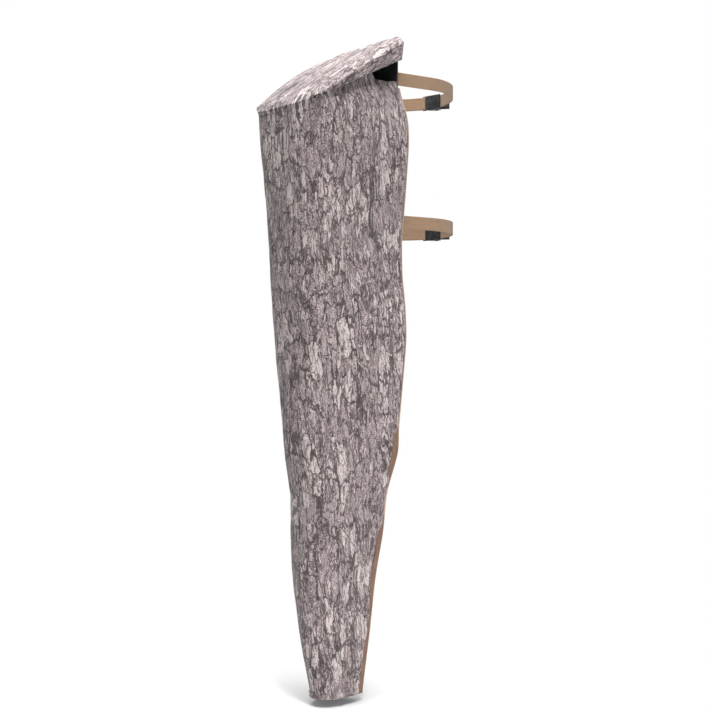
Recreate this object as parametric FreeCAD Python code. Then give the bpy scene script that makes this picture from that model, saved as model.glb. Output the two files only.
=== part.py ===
import math
import os
from collections import namedtuple

import FreeCAD, Part

os.makedirs("parts", exist_ok=True)

# A gravity bag feeder: a tapering fabric hopper that two webbing straps hold against a tree.
# Millimetres. The origin is on the trunk's axis at mid-height of the upper strap.
# +Z is up, the bag hangs on the -Y side of the trunk, and +X is to its right seen from the front.

# ---- the tree and the straps ----
TRUNK_RADIUS = 110.0
STRAP_WIDTH = 25.0
STRAP_THICKNESS = 1.5
STRAP_SPACING = 270.0            # from the upper strap down to the lower one
SEWN_END_ANGLE = 130.0           # where the sewn-back end of the strap stops, seen from above
TAIL_END_ANGLE = 152.0           # where the loose tail stops
LAYER_GAP = 0.2                  # between one layer of webbing and the next

# ---- the bag's fabric ----
FABRIC = 1.5                     # coated pack cloth with its seam allowance
LINER = 1.0
SEWN_GAP = 0.3                   # between a soft piece and what it is sewn to
STRAP_CLEARANCE = 0.4            # between a strap and the back panel it runs over
STRAP_STANDOFF = 1.1             # from the trunk to the strap's straight run behind the bag
BACK_Y = -(TRUNK_RADIUS + STRAP_STANDOFF + STRAP_THICKNESS + STRAP_CLEARANCE)
LEAN = 34.0                      # how far the spout stands further out than the straps
BINDING_DEPTH = 13.0
BINDING_THICKNESS = 2.5
HEM_HEIGHT = 12.0
HEM_THICKNESS = 1.2

# Each section of the bag: how far down it is as a share of the bag's drop, half its width at the
# back and at the front as shares of the bag's greatest half width, its depth as a share of the
# greatest depth, and how square its front corners are (2 is an ellipse).
BAG_DROP = 1160.0                # from the upper strap down to the spout's rim
BAG_HALF_WIDTH = 121.0
BAG_DEPTH = 216.0
SECTION_SHARES = [
    (-0.0534, 0.810, 0.744, 0.995, 4.6),     # shoulder, above the mouth
    (0.0129, 0.810, 0.752, 1.0, 4.6),        # mouth
    (0.0586, 0.975, 0.752, 1.0, 4.5),        # fold of the hood
    (0.1121, 1.0, 0.752, 0.995, 4.2),
    (0.2586, 0.901, 0.719, 0.940, 3.4),
    (0.4224, 1.0, 0.661, 0.847, 3.0),
    (0.5948, 0.926, 0.595, 0.750, 2.7),
    (0.6767, 0.661, 0.537, 0.671, 2.6),      # waist
    (0.7328, 0.645, 0.537, 0.667, 2.5),
    (0.8147, 0.496, 0.512, 0.630, 2.4),
    (0.9138, 0.397, 0.430, 0.528, 2.4),
    (1.0, 0.289, 0.331, 0.407, 2.3),         # spout
]
Section = namedtuple("Section", "drop back front depth squareness")
SECTIONS = [
    Section(down * BAG_DROP, back * BAG_HALF_WIDTH, front * BAG_HALF_WIDTH, depth * BAG_DEPTH, square)
    for down, back, front, depth, square in SECTION_SHARES
]
MOUTH, FOLD, SPOUT = SECTIONS[1], SECTIONS[2], SECTIONS[-1]

# ---- the mouth ----
RIM_PEAK_Z = 3.0                 # the side panels' highest point, under the hood
RIM_PEAK_BEHIND = 62.0           # from the back panel forward to that point
RIM_NOTCH_Z = -20.0              # the rim behind it, where the corner of the mouth gapes
RIM_NOTCH_BEHIND = 37.0
MOUTH_HEM = 14.0                 # height of the turned-in hem along the rim

# ---- the hood ----
HINGE_BELOW_FOLD = 1.0
HOOD_LIP = 7.0                   # how far the fold rolls down at the front
HOOD_LIP_ROUND = 3.0             # how far the lip's top edge is bevelled
HOOD_CLEARANCE = 1.0             # between the hood's inside and the bag's wall
HOOD_TUCK = 3.0                  # how far the wall's top edge stands up inside the lip
HOOD_SPREAD = 13.0               # how far the hood's back end stands out past the mouth's side
HOOD_TURN_IN = 4.0               # how far the skirts' lower edges come back in
HOOD_SHOULDER_IN = 5.0           # from the mouth's side in to the hood's shoulder
HOOD_LEFT_Z = 59.0               # the crown of the back end, from its left shoulder
HOOD_MIDDLE_Z = 74.0
HOOD_RIGHT_Z = 80.0              # to its right shoulder, which lies higher
HOOD_BEVEL = 13.5
SKIRT = 49.0                     # from the shoulder to the skirt's lower edge, at the back
HOOD_SWELL = 4.0                 # how much the hood crowns at half its length
HOOD_OVERHANG = 1.0              # how far the hood reaches past the back panel
TAB_MARGIN = 4.0                 # from the hook tape's end to the tab's side
TAB_GAP = 0.9                    # between the tab and the hood it is sewn under

# ---- the closure ----
TAPE_HALF = 60.0                 # half the length of the hook and loop tape
TAPE_WIDTH = 25.0
TAPE_THICKNESS = 1.5
TAPE_BELOW_CROWN = 34.0          # from the crown's middle down to the tape's centre
UPSTAND_GAP = 5.0                # between the back panel's top edge and the hood

# ---- the webbing keepers on the back panel ----
KEEPER_X = 70.0
KEEPER_WIDTH = 25.0
KEEPER_THICKNESS = 1.2
KEEPER_TAB = 14.0
KEEPER_ROOM = 1.0                # beside each edge of the strap
KEEPER_RAMP = 1.5                # how much longer than high the keeper's ramps are
BARTACK_LENGTH = 20.0
BARTACK_WIDTH = 2.0
BARTACK_HEIGHT = 0.5

# ---- the spout's hoop ----
HOOP_THICKNESS = 2.0
HOOP_HEIGHT = 5.0
HOOP_UP = 4.0

# ---- the cam buckle, which lies on the strap behind the trunk ----
PLATE_LIFT = 0.7                 # from the trunk to the buckle's base plate
PLATE_THICKNESS = 1.5
PLATE_HALF_LENGTH = 22.0
CHEEK_THICKNESS = 1.7
CHEEK_HEIGHT = 15.5
CHEEK_BACK = 10.0
CHEEK_FRONT = 18.0
CHEEK_CLEARANCE = 0.6            # between a cheek and the webbing's edge
BAR_WIDTH = 2.5
SLOT_WIDTH = 4.0
BAR_WRAP_RADIUS = 1.6
BAR_WRAP_OFFSET = 0.7            # from the slot's edge to the middle of the strap's turn
LIP_RADIUS = 1.1                 # of the strap's bend over the plate's front edge
LIP_BACK = 0.4                   # from the plate's front edge to the middle of that bend
DIP_ALONG = -4.0                 # where the strap starts to climb over its sewn end
DIP_RADIUS = 1.0
RUN_MARGIN = 1.5                 # how far the strap's straight run passes the keepers
PIN_RADIUS = 2.5
PIN_CLEARANCE = 0.05
PIN_HEAD_RADIUS = 3.8
PIN_HEAD_THICKNESS = 1.0
PIVOT_ALONG = 6.0
PIVOT_UP = 10.5                  # from the trunk to the cam's pin
CHEEK_NOSE = 7.0                 # the cheek's height at its front end
CHEEK_HEEL = 6.0                 # and at its back end
CHEEK_CROWN = 6.0                # half the length of its flat top
CAM_DRUM_RADIUS = 5.6
CAM_LOBE_RADIUS = 4.0
CAM_LOBE_OFFSET = 1.6
CAM_BITE_GAP = 0.15              # from the cam's lobe to the webbing
LEVER_SIDE_GAP = 0.4
LEVER_LENGTH = 26.0
LEVER_THICKNESS = 2.5
LEVER_ANGLE = 30.0               # the thumb plate's rise at rest
SPRING_LENGTH = 6.0
SPRING_WIRE = 1.2
SPRING_LEG = 1.0                 # the leg's diameter
SPRING_GAP = 0.3
SPRING_LEG_SUNK = 1.0            # how far the leg reaches into the coil

# ---- values that follow from those above ----
STRAP_OUTER = TRUNK_RADIUS + STRAP_THICKNESS
BACK_INNER_Y = BACK_Y - FABRIC
RIM_Z = -SPOUT.drop
FRONT_Y = BACK_Y - FOLD.depth
HINGE_Z = -FOLD.drop - HINGE_BELOW_FOLD
WALL_TOP_Z = HINGE_Z + HOOD_TUCK
HOOD_PROUD = HOOD_CLEARANCE + FABRIC
HOOD_FRONT_Y = FRONT_Y - HOOD_PROUD
HOOD_LENGTH = BACK_Y + HOOD_OVERHANG - HOOD_FRONT_Y
HOOD_BEVEL_HALF = MOUTH.back + HOOD_SPREAD
HOOD_EDGE_HALF = HOOD_BEVEL_HALF - HOOD_TURN_IN
HOOD_SHOULDER_HALF = MOUTH.back - HOOD_SHOULDER_IN
FAR = 2 * BAG_DROP               # longer than the whole feeder, for cutting tools
CUT = TRUNK_RADIUS / 100         # how far a cutting tool passes the surface it cuts through
UP = FreeCAD.Vector(0, 0, 1)


def vector(x, y, z=0.0):
    return FreeCAD.Vector(x, y, z)


def box(low, high):
    """The block between two opposite corners."""
    size = [b - a for a, b in zip(low, high)]
    return Part.makeBox(*size, vector(*low))


def mirrored(shape):
    """The same shape on the other side of the middle plane."""
    return shape.mirror(vector(0, 0, 0), vector(1, 0, 0))


def prism_along_x(outline, x_from, x_to):
    """A (y, z) outline pushed along X."""
    points = [vector(x_from, y, z) for y, z in outline]
    face = Part.Face(Part.makePolygon(points + points[:1]))
    return face.extrude(vector(x_to - x_from, 0, 0))


def prism_along_y(outline, y_from, y_to):
    """An (x, z) outline pushed along Y."""
    points = [vector(x, y_from, z) for x, z in outline]
    face = Part.Face(Part.makePolygon(points + points[:1]))
    return face.extrude(vector(0, y_to - y_from, 0))


def prism_along_z(outline, z_from, z_to):
    """An (x, y) outline pushed along Z."""
    points = [vector(x, y, z_from) for x, y in outline]
    face = Part.Face(Part.makePolygon(points + points[:1]))
    return face.extrude(vector(0, 0, z_to - z_from))


def save(node, *solids):
    """Writes the solids of one node."""
    shape = solids[0] if len(solids) == 1 else Part.makeCompound(list(solids))
    shape.exportStep(f"parts/{node}.step")
    print(f"{node}: {len(shape.Solids)} solid(s), {shape.Volume / 1000:.2f} cm3, valid {shape.isValid()}")


def back_y(z):
    """The trunk side of the back panel: upright by the straps, then leaning out to the spout."""
    below = max(0.0, -z - STRAP_SPACING)
    return BACK_Y - LEAN * below / (SPOUT.drop - STRAP_SPACING)


def between(upper, lower, z):
    """The section at height z on the straight line between two sections."""
    share = (-z - upper.drop) / (lower.drop - upper.drop)
    return Section(*[a + (b - a) * share for a, b in zip(upper, lower)])


def stations(top_z, bottom_z):
    """The sections from top_z down to bottom_z, with a made one at each end."""
    def at(z):
        for upper, lower in zip(SECTIONS, SECTIONS[1:]):
            if -z <= lower.drop:
                return between(upper, lower, z)
        return between(SECTIONS[-2], SECTIONS[-1], z)
    kink = Section(*at(-STRAP_SPACING))
    inside = [s for s in SECTIONS + [kink] if top_z > -s.drop > bottom_z]
    return [at(top_z)] + sorted(inside, key=lambda s: s.drop) + [at(bottom_z)]


def wall_point(section, inset, turn):
    """A point of the bag's wall. The turn goes from 0 at the back's right edge to 180 at its left."""
    power = 2.0 / section.squareness
    across = math.cos(math.radians(turn))
    forward = abs(math.sin(math.radians(turn))) ** power
    half = section.back + (section.front - section.back) * forward - inset
    x = half * math.copysign(abs(across) ** power, across)
    return vector(x, back_y(-section.drop) - FABRIC - (section.depth - FABRIC - inset) * forward,
                  -section.drop)


TURNS = [0, 4, 12, 24, 38, 54, 72, 90, 108, 126, 142, 156, 168, 176, 180]


def wall_wire(section, inset):
    """The closed outline of the bag at one section, pulled in by inset."""
    points = [wall_point(section, inset, turn) for turn in TURNS]
    curve = Part.BSplineCurve()
    curve.interpolate(points)
    return Part.Wire([curve.toShape(), Part.makeLine(points[-1], points[0])])


def hopper(inset, top_z, bottom_z):
    """The space inside the bag's wall, pulled in by inset."""
    wires = [wall_wire(section, inset) for section in stations(top_z, bottom_z)]
    return Part.makeLoft(wires, True, True)


def wall(outer_inset, inner_inset, top_z, bottom_z):
    """The bag's wall between two insets, open at the back, the top and the bottom."""
    core = hopper(inner_inset, top_z, bottom_z)
    behind = core.translated(vector(0, 1.5 * FABRIC, 0))
    return hopper(outer_inset, top_z, bottom_z).cut(core).cut(behind)


def corner_wedge(top_z, bottom_z):
    """The part of the hopper's plan that the front panel takes, between its two corners."""
    wires = []
    for section in stations(top_z, bottom_z):
        corner = wall_point(section, 0.0, 40)
        eye = vector(0, back_y(-section.drop) - section.depth * 0.4, corner.z)
        reach = (corner - eye) * 3.0
        right = eye + reach
        wires.append(Part.makePolygon([eye, right, vector(-right.x, right.y, right.z), eye]))
    return Part.makeLoft(wires, True, True)


# ---- the bag's panels ----

def above_rim(lower=0.0):
    """What is cut away above the side panels' rim, or above a line that runs lower by a distance."""
    peak_y = BACK_Y - RIM_PEAK_BEHIND
    notch_y = BACK_Y - RIM_NOTCH_BEHIND
    slope = (RIM_PEAK_Z - WALL_TOP_Z) / (peak_y - FRONT_Y)
    rim = [
        (FRONT_Y - RIM_PEAK_BEHIND, WALL_TOP_Z - slope * RIM_PEAK_BEHIND - lower),
        (peak_y, RIM_PEAK_Z - lower),
        (notch_y, RIM_NOTCH_Z - lower),
        (BACK_Y + RIM_PEAK_BEHIND, RIM_NOTCH_Z - lower),
        (BACK_Y + RIM_PEAK_BEHIND, FAR),
        (FRONT_Y - RIM_PEAK_BEHIND, FAR),
    ]
    return prism_along_x(rim, -FAR, FAR)


def make_wrap():
    """The camouflage wrap as its front panel and its two side panels."""
    top_z = RIM_PEAK_Z + CUT
    whole = wall(0.0, FABRIC, top_z, RIM_Z).cut(above_rim())
    wedge = corner_wedge(top_z + CUT, RIM_Z - CUT)
    front = whole.common(wedge)
    sides = whole.cut(wedge)
    right = sides.common(box((0, -FAR, -FAR), (FAR, FAR, FAR)))
    left = sides.common(box((-FAR, -FAR, -FAR), (0, FAR, FAR)))
    save("front_panel", front.Solids[0])
    save("right_side_panel", max(right.Solids, key=lambda s: s.Volume))
    save("left_side_panel", max(left.Solids, key=lambda s: s.Volume))


def hood_section(share, inset):
    """The hood's outline in its own cross-section: share 0 is at the fold and 1 at the back."""
    def mix(front, back):
        return front + (back - front) * share
    swell = HOOD_SWELL * 4.0 * share * (1.0 - share)
    top = HINGE_Z + HOOD_LIP
    floor = HINGE_Z
    half = FOLD.front + HOOD_PROUD
    left_z = mix(top, HOOD_LEFT_Z) + swell
    right_z = mix(top, HOOD_RIGHT_Z) + swell
    shoulder = mix(half - HOOD_LIP_ROUND, HOOD_SHOULDER_HALF)
    bevel = mix(half, HOOD_BEVEL_HALF) - inset
    edge = mix(half, HOOD_EDGE_HALF) - inset
    bevel_drop = mix(HOOD_LIP_ROUND, HOOD_BEVEL)
    return [
        (-edge, mix(floor, HOOD_LEFT_Z - SKIRT)),
        (-bevel, left_z - bevel_drop),
        (-shoulder, left_z - inset),
        (0.0, mix(top, HOOD_MIDDLE_Z) + swell - inset),
        (shoulder, right_z - inset),
        (bevel, right_z - bevel_drop),
        (edge, mix(floor, HOOD_RIGHT_Z - SKIRT)),
    ]


def hood_solid(inset, first_share, last_share, deeper):
    """The hood as a solid block. Its lower edge goes deeper by a distance, so it can be a cutter."""
    wires = []
    for share in (first_share, 0.25, 0.5, 0.75, last_share):
        outline = hood_section(share, inset)
        outline[0] = (outline[0][0], outline[0][1] - deeper)
        outline[-1] = (outline[-1][0], outline[-1][1] - deeper)
        points = [vector(x, HOOD_FRONT_Y + share * HOOD_LENGTH, z) for x, z in outline]
        wires.append(Part.makePolygon(points + points[:1]))
    return Part.makeLoft(wires, True, True)


def hood_plan(inset):
    """A column as wide as the bag at its fold, so that the hood's front follows the bag's corners."""
    return Part.Face(wall_wire(FOLD, inset)).extrude(UP * FAR).translated(vector(0, 0, -FAR / 2))


def crown_z(x, y, inset):
    """Height of the hood over x and y."""
    outline = hood_section((y - HOOD_FRONT_Y) / HOOD_LENGTH, inset)
    for (xa, za), (xb, zb) in zip(outline[1:], outline[2:]):
        if xa <= x <= xb:
            return za + (zb - za) * (x - xa) / (xb - xa)
    return outline[0][1]


def make_hood():
    """The hood: its top sheet and the two skirts that turn down at its sides."""
    behind = box((-FAR, BACK_Y - FOLD.depth / 2, -FAR), (FAR, FAR, FAR))
    shell = hood_solid(0.0, 0.0, 1.0, 0.0).common(hood_plan(-HOOD_PROUD).fuse(behind))
    past_end = 1.0 + CUT / HOOD_LENGTH
    hollow = hood_solid(FABRIC, 0.0, past_end, SKIRT).common(hood_plan(-HOOD_CLEARANCE).fuse(behind))
    shell = shell.cut(hollow)
    front_half = FOLD.front + HOOD_PROUD - HOOD_LIP_ROUND
    widen = (HOOD_SHOULDER_HALF - front_half) / HOOD_LENGTH
    near_y, far_y = HOOD_FRONT_Y - CUT, BACK_Y + HOOD_OVERHANG + CUT
    near_half, far_half = front_half - widen * CUT, HOOD_SHOULDER_HALF + widen * CUT
    middle = [(-near_half, near_y), (near_half, near_y), (far_half, far_y), (-far_half, far_y)]
    middle = prism_along_z(middle, -FAR, FAR)
    top = shell.common(middle)
    skirts = shell.cut(middle)
    save("hood_top", top.Solids[0])
    save("hood_right_skirt", skirts.common(box((0, -FAR, -FAR), (FAR, FAR, FAR))).Solids[0])
    save("hood_left_skirt", skirts.common(box((-FAR, -FAR, -FAR), (0, FAR, FAR))).Solids[0])


def make_closure():
    """The hood's turned-down tab with its hook tape, and the loop tape on the back panel."""
    tape_z = HOOD_MIDDLE_Z - TAPE_BELOW_CROWN
    low, high = tape_z - TAPE_WIDTH / 2, tape_z + TAPE_WIDTH / 2
    loop_y = BACK_INNER_Y - TAPE_THICKNESS
    hook_y = loop_y - SEWN_GAP - TAPE_THICKNESS
    tab_y = hook_y - FABRIC
    save("loop_tape", box((-TAPE_HALF, loop_y, low), (TAPE_HALF, BACK_INNER_Y, high)))
    save("hook_tape", box((-TAPE_HALF, hook_y, low), (TAPE_HALF, hook_y + TAPE_THICKNESS, high)))
    half = TAPE_HALF + TAB_MARGIN
    outline = [(-half, low), (half, low)]
    outline += [(x, crown_z(x, tab_y, FABRIC) - TAB_GAP) for x in (half, 0.0, -half)]
    save("hood_tab", prism_along_y(outline, tab_y, hook_y))


def make_back_panel():
    """The plain back panel, with the upstand that carries the hood's back end."""
    flat = []
    for side in (1, -1):
        edge = [(side * s.back, -s.drop) for s in SECTIONS if s.drop > MOUTH.drop]
        flat += edge if side > 0 else edge[::-1]
    upstand_half = MOUTH.back
    shoulder = HOOD_SHOULDER_HALF - UPSTAND_GAP
    crest = [-upstand_half, -shoulder, 0.0, shoulder, upstand_half]
    flat += [(-upstand_half, -MOUTH.drop)]
    flat += [(x, crown_z(x, BACK_INNER_Y, FABRIC) - UPSTAND_GAP) for x in crest]
    flat += [(upstand_half, -MOUTH.drop)]
    slab_outline = [
        (BACK_Y, FAR), (BACK_Y, -STRAP_SPACING), (back_y(RIM_Z), RIM_Z),
        (back_y(RIM_Z) - FABRIC, RIM_Z), (BACK_INNER_Y, -STRAP_SPACING), (BACK_INNER_Y, FAR),
    ]
    slab = prism_along_x(slab_outline, -FAR, FAR)
    save("back_panel", slab.common(prism_along_y(flat, -FAR, FAR)))


def make_liner():
    """The black waterproof lining: a tube inside the wrap and the back panel."""
    outer = FABRIC + SEWN_GAP
    inner = outer + LINER
    top_z = HINGE_Z - HOOD_TUCK
    shell = hopper(outer, top_z, RIM_Z).translated(vector(0, -SEWN_GAP, 0))
    core = hopper(inner, top_z + CUT, RIM_Z - CUT).translated(vector(0, -SEWN_GAP - LINER, 0))
    keep = hopper(outer, top_z, RIM_Z)
    save("liner", shell.common(keep).cut(core))


def make_mouth_hem():
    """The turned-in hems along the two side panels' rims."""
    outer = FABRIC + SEWN_GAP
    top_z = RIM_PEAK_Z + CUT
    band = wall(outer, outer + HEM_THICKNESS, top_z, -FOLD.drop).cut(above_rim(SEWN_GAP))
    band = band.common(above_rim(MOUTH_HEM))
    band = band.cut(corner_wedge(top_z + CUT, -FOLD.drop - CUT))
    band = band.cut(box((-FAR, BACK_INNER_Y - SEWN_GAP, -FAR), (FAR, FAR, FAR)))
    halves = [
        band.common(box((0, -FAR, -FAR), (FAR, FAR, FAR))),
        band.common(box((-FAR, -FAR, -FAR), (0, FAR, FAR))),
    ]
    save("mouth_hems", *[max(half.Solids, key=lambda s: s.Volume) for half in halves])


def make_seam_bindings():
    """The binding tapes over the seams between the side panels and the back panel."""
    def outline(section):
        z = -section.drop
        rear = back_y(z)
        share = (BINDING_DEPTH - FABRIC) / (section.depth - FABRIC)
        inner = section.back + 2 * SEWN_GAP
        front = inner + (section.front - section.back) * share
        corners = [
            vector(inner, rear, z), vector(inner + BINDING_THICKNESS, rear, z),
            vector(front + BINDING_THICKNESS, rear - BINDING_DEPTH, z),
            vector(front, rear - BINDING_DEPTH, z),
        ]
        return Part.makePolygon(corners + corners[:1])
    right = Part.makeLoft([outline(s) for s in stations(RIM_NOTCH_Z, RIM_Z)], True, True)
    save("right_seam_binding", right)
    save("left_seam_binding", mirrored(right))


def make_spout():
    """The binding round the spout's rim, and the hoop that holds the spout open."""
    low, high = RIM_Z, RIM_Z + HEM_HEIGHT
    proud = -(SEWN_GAP + HEM_THICKNESS)
    band = wall(proud, -SEWN_GAP, high, low)
    spine = back_y(RIM_Z) - BINDING_DEPTH - SEWN_GAP
    band = band.cut(box((-FAR, spine, -FAR), (FAR, FAR, FAR)))
    save("spout_binding", band.Solids[0])
    outer = FABRIC + LINER + 2 * SEWN_GAP
    low = RIM_Z + HOOP_UP
    ring = hopper(outer, low + HOOP_HEIGHT, low)
    core = hopper(outer + HOOP_THICKNESS, low + HOOP_HEIGHT, low)
    lined = vector(0, -LINER - 2 * SEWN_GAP, 0)
    core = core.translated(lined + vector(0, -HOOP_THICKNESS, 0))
    save("spout_hoop", ring.common(ring.translated(lined)).cut(core))


# ---- the keepers ----

def make_keepers(name, strap_z):
    """Two webbing keepers on the back panel, and the bartacks that hold their ends."""
    lift = STRAP_CLEARANCE + STRAP_THICKNESS + SEWN_GAP
    half = STRAP_WIDTH / 2 + KEEPER_ROOM
    ramp = half + lift + KEEPER_RAMP
    end = ramp + KEEPER_TAB
    thick = KEEPER_THICKNESS
    outline = [
        (0.0, end), (thick, end), (thick, ramp), (thick + lift, half),
        (thick + lift, -half), (thick, -ramp), (thick, -end), (0.0, -end),
        (0.0, -ramp), (lift, -half), (lift, half), (0.0, ramp),
    ]
    placed = [(BACK_Y + y, strap_z + z) for y, z in outline]
    keepers = []
    tacks = []
    for x in (-KEEPER_X, KEEPER_X):
        keepers.append(prism_along_x(placed, x - KEEPER_WIDTH / 2, x + KEEPER_WIDTH / 2))
        for z in (strap_z - end + KEEPER_TAB / 2, strap_z + end - KEEPER_TAB / 2):
            low = (x - BARTACK_LENGTH / 2, BACK_Y + thick, z - BARTACK_WIDTH / 2)
            high = (x + BARTACK_LENGTH / 2, BACK_Y + thick + BARTACK_HEIGHT, z + BARTACK_WIDTH / 2)
            tacks.append(box(low, high))
    save(f"{name}_keepers", *keepers)
    return tacks


# ---- the straps and their cam buckles ----

def turned(angle):
    """The unit vector at an angle, in degrees, in the plan."""
    return vector(math.cos(math.radians(angle)), math.sin(math.radians(angle)))


def band(centre, inner, outer, angle_from, angle_to):
    """A curved stretch of webbing about a centre."""
    height = STRAP_WIDTH
    ring = Part.makeCylinder(outer, height, centre, UP, angle_to - angle_from)
    ring = ring.cut(Part.makeCylinder(inner, height, centre, UP))
    ring.rotate(centre, UP, angle_from)
    return ring


def plank(start, end, normal_angle):
    """A straight stretch of webbing whose inner face runs from start to end."""
    out = turned(normal_angle) * STRAP_THICKNESS
    corners = [start, end, end + out, start + out]
    return Part.Face(Part.makePolygon(corners + corners[:1])).extrude(UP * STRAP_WIDTH)


def tangent_angle(centre, target, side):
    """The angle of the normal whose distance at the centre is the target, on one side of it."""
    own = math.degrees(math.atan2(centre.y, centre.x))
    return own + side * math.degrees(math.acos(target / centre.Length))


def make_strap(name, strap_z):
    """One strap: round the trunk, through the keepers and the buckle, with its sewn end and its tail."""
    o = vector(0, 0)
    run_y = BACK_Y + STRAP_CLEARANCE + STRAP_THICKNESS
    run_half = KEEPER_X + KEEPER_WIDTH / 2 + RUN_MARGIN
    bend = vector(run_half, run_y)
    leave = math.degrees(math.atan2(run_y, run_half))
    leave += math.degrees(math.acos(TRUNK_RADIUS / bend.Length))

    # The stretch behind the bag, and its two runs to the trunk.
    touch = turned(leave) * TRUNK_RADIUS
    inner = [touch, bend, vector(-run_half, run_y), vector(-touch.x, touch.y)]
    inner_wire = Part.Wire([
        Part.Arc(touch, turned(90) * TRUNK_RADIUS, vector(-touch.x, touch.y)).toShape(),
        Part.makeLine(inner[3], inner[2]),
        Part.makeLine(inner[2], inner[1]),
        Part.makeLine(inner[1], inner[0]),
    ])
    outer_wire = inner_wire.makeOffset2D(STRAP_THICKNESS)
    loop = Part.Face(outer_wire).cut(Part.Face(inner_wire)).extrude(UP * STRAP_WIDTH)

    # The load end runs over the base plate and under the cam.
    plate_top = TRUNK_RADIUS + PLATE_LIFT + PLATE_THICKNESS
    lip = vector(PLATE_HALF_LENGTH - LIP_BACK, plate_top + LAYER_GAP - LIP_RADIUS)
    climb = tangent_angle(lip, TRUNK_RADIUS - LIP_RADIUS, -1)
    run_start = lip + turned(90) * LIP_RADIUS
    dip = vector(DIP_ALONG, run_start.y + STRAP_THICKNESS + DIP_RADIUS)

    # The sewn end turns round the plate's bar and comes back on itself.
    bar_side = -(PLATE_HALF_LENGTH - BAR_WIDTH) - BAR_WRAP_OFFSET
    bar = vector(bar_side, TRUNK_RADIUS + PLATE_LIFT + PLATE_THICKNESS / 2)
    wrap_outer = BAR_WRAP_RADIUS + STRAP_THICKNESS
    sewn_inner = STRAP_OUTER + LAYER_GAP
    settle = tangent_angle(bar, sewn_inner - BAR_WRAP_RADIUS, 1)

    # The tail climbs over the sewn end and lies along it.
    over = wrap_outer + LAYER_GAP
    tail_inner = sewn_inner + over - BAR_WRAP_RADIUS
    across = dip - bar
    rise = math.degrees(math.atan2(across.y, across.x))
    rise += math.degrees(math.acos((over + DIP_RADIUS + STRAP_THICKNESS) / across.Length))

    gap = [o, turned(climb) * 2 * TRUNK_RADIUS, turned(90) * 2 * TRUNK_RADIUS]
    gap = Part.Face(Part.makePolygon(gap + gap[:1])).extrude(UP * STRAP_WIDTH)
    left_cut = box((bar_side, 0, 0), (0, 2 * TRUNK_RADIUS, STRAP_WIDTH))
    webbing = loop.cut(gap).cut(left_cut)
    pieces = [
        plank(turned(climb) * TRUNK_RADIUS, lip + turned(climb) * LIP_RADIUS, climb),
        band(lip, LIP_RADIUS, LIP_RADIUS + STRAP_THICKNESS, climb, 90),
        plank(run_start, vector(DIP_ALONG, run_start.y), 90),
        band(dip, DIP_RADIUS, DIP_RADIUS + STRAP_THICKNESS, 180 + rise, 270),
        plank(dip - turned(rise) * (DIP_RADIUS + STRAP_THICKNESS), bar + turned(rise) * over, rise),
        band(bar, over, over + STRAP_THICKNESS, rise, settle),
        plank(bar + turned(settle) * over, turned(settle) * tail_inner, settle),
        band(o, tail_inner, tail_inner + STRAP_THICKNESS, settle, TAIL_END_ANGLE),
        band(bar, BAR_WRAP_RADIUS, wrap_outer, -90, settle),
        plank(bar + turned(settle) * BAR_WRAP_RADIUS, turned(settle) * sewn_inner, settle),
        band(o, sewn_inner, sewn_inner + STRAP_THICKNESS, settle, SEWN_END_ANGLE),
    ]
    webbing = webbing.multiFuse(pieces).removeSplitter()
    webbing.translate(vector(0, 0, strap_z - STRAP_WIDTH / 2))
    save(f"{name}_strap", webbing)


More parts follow.
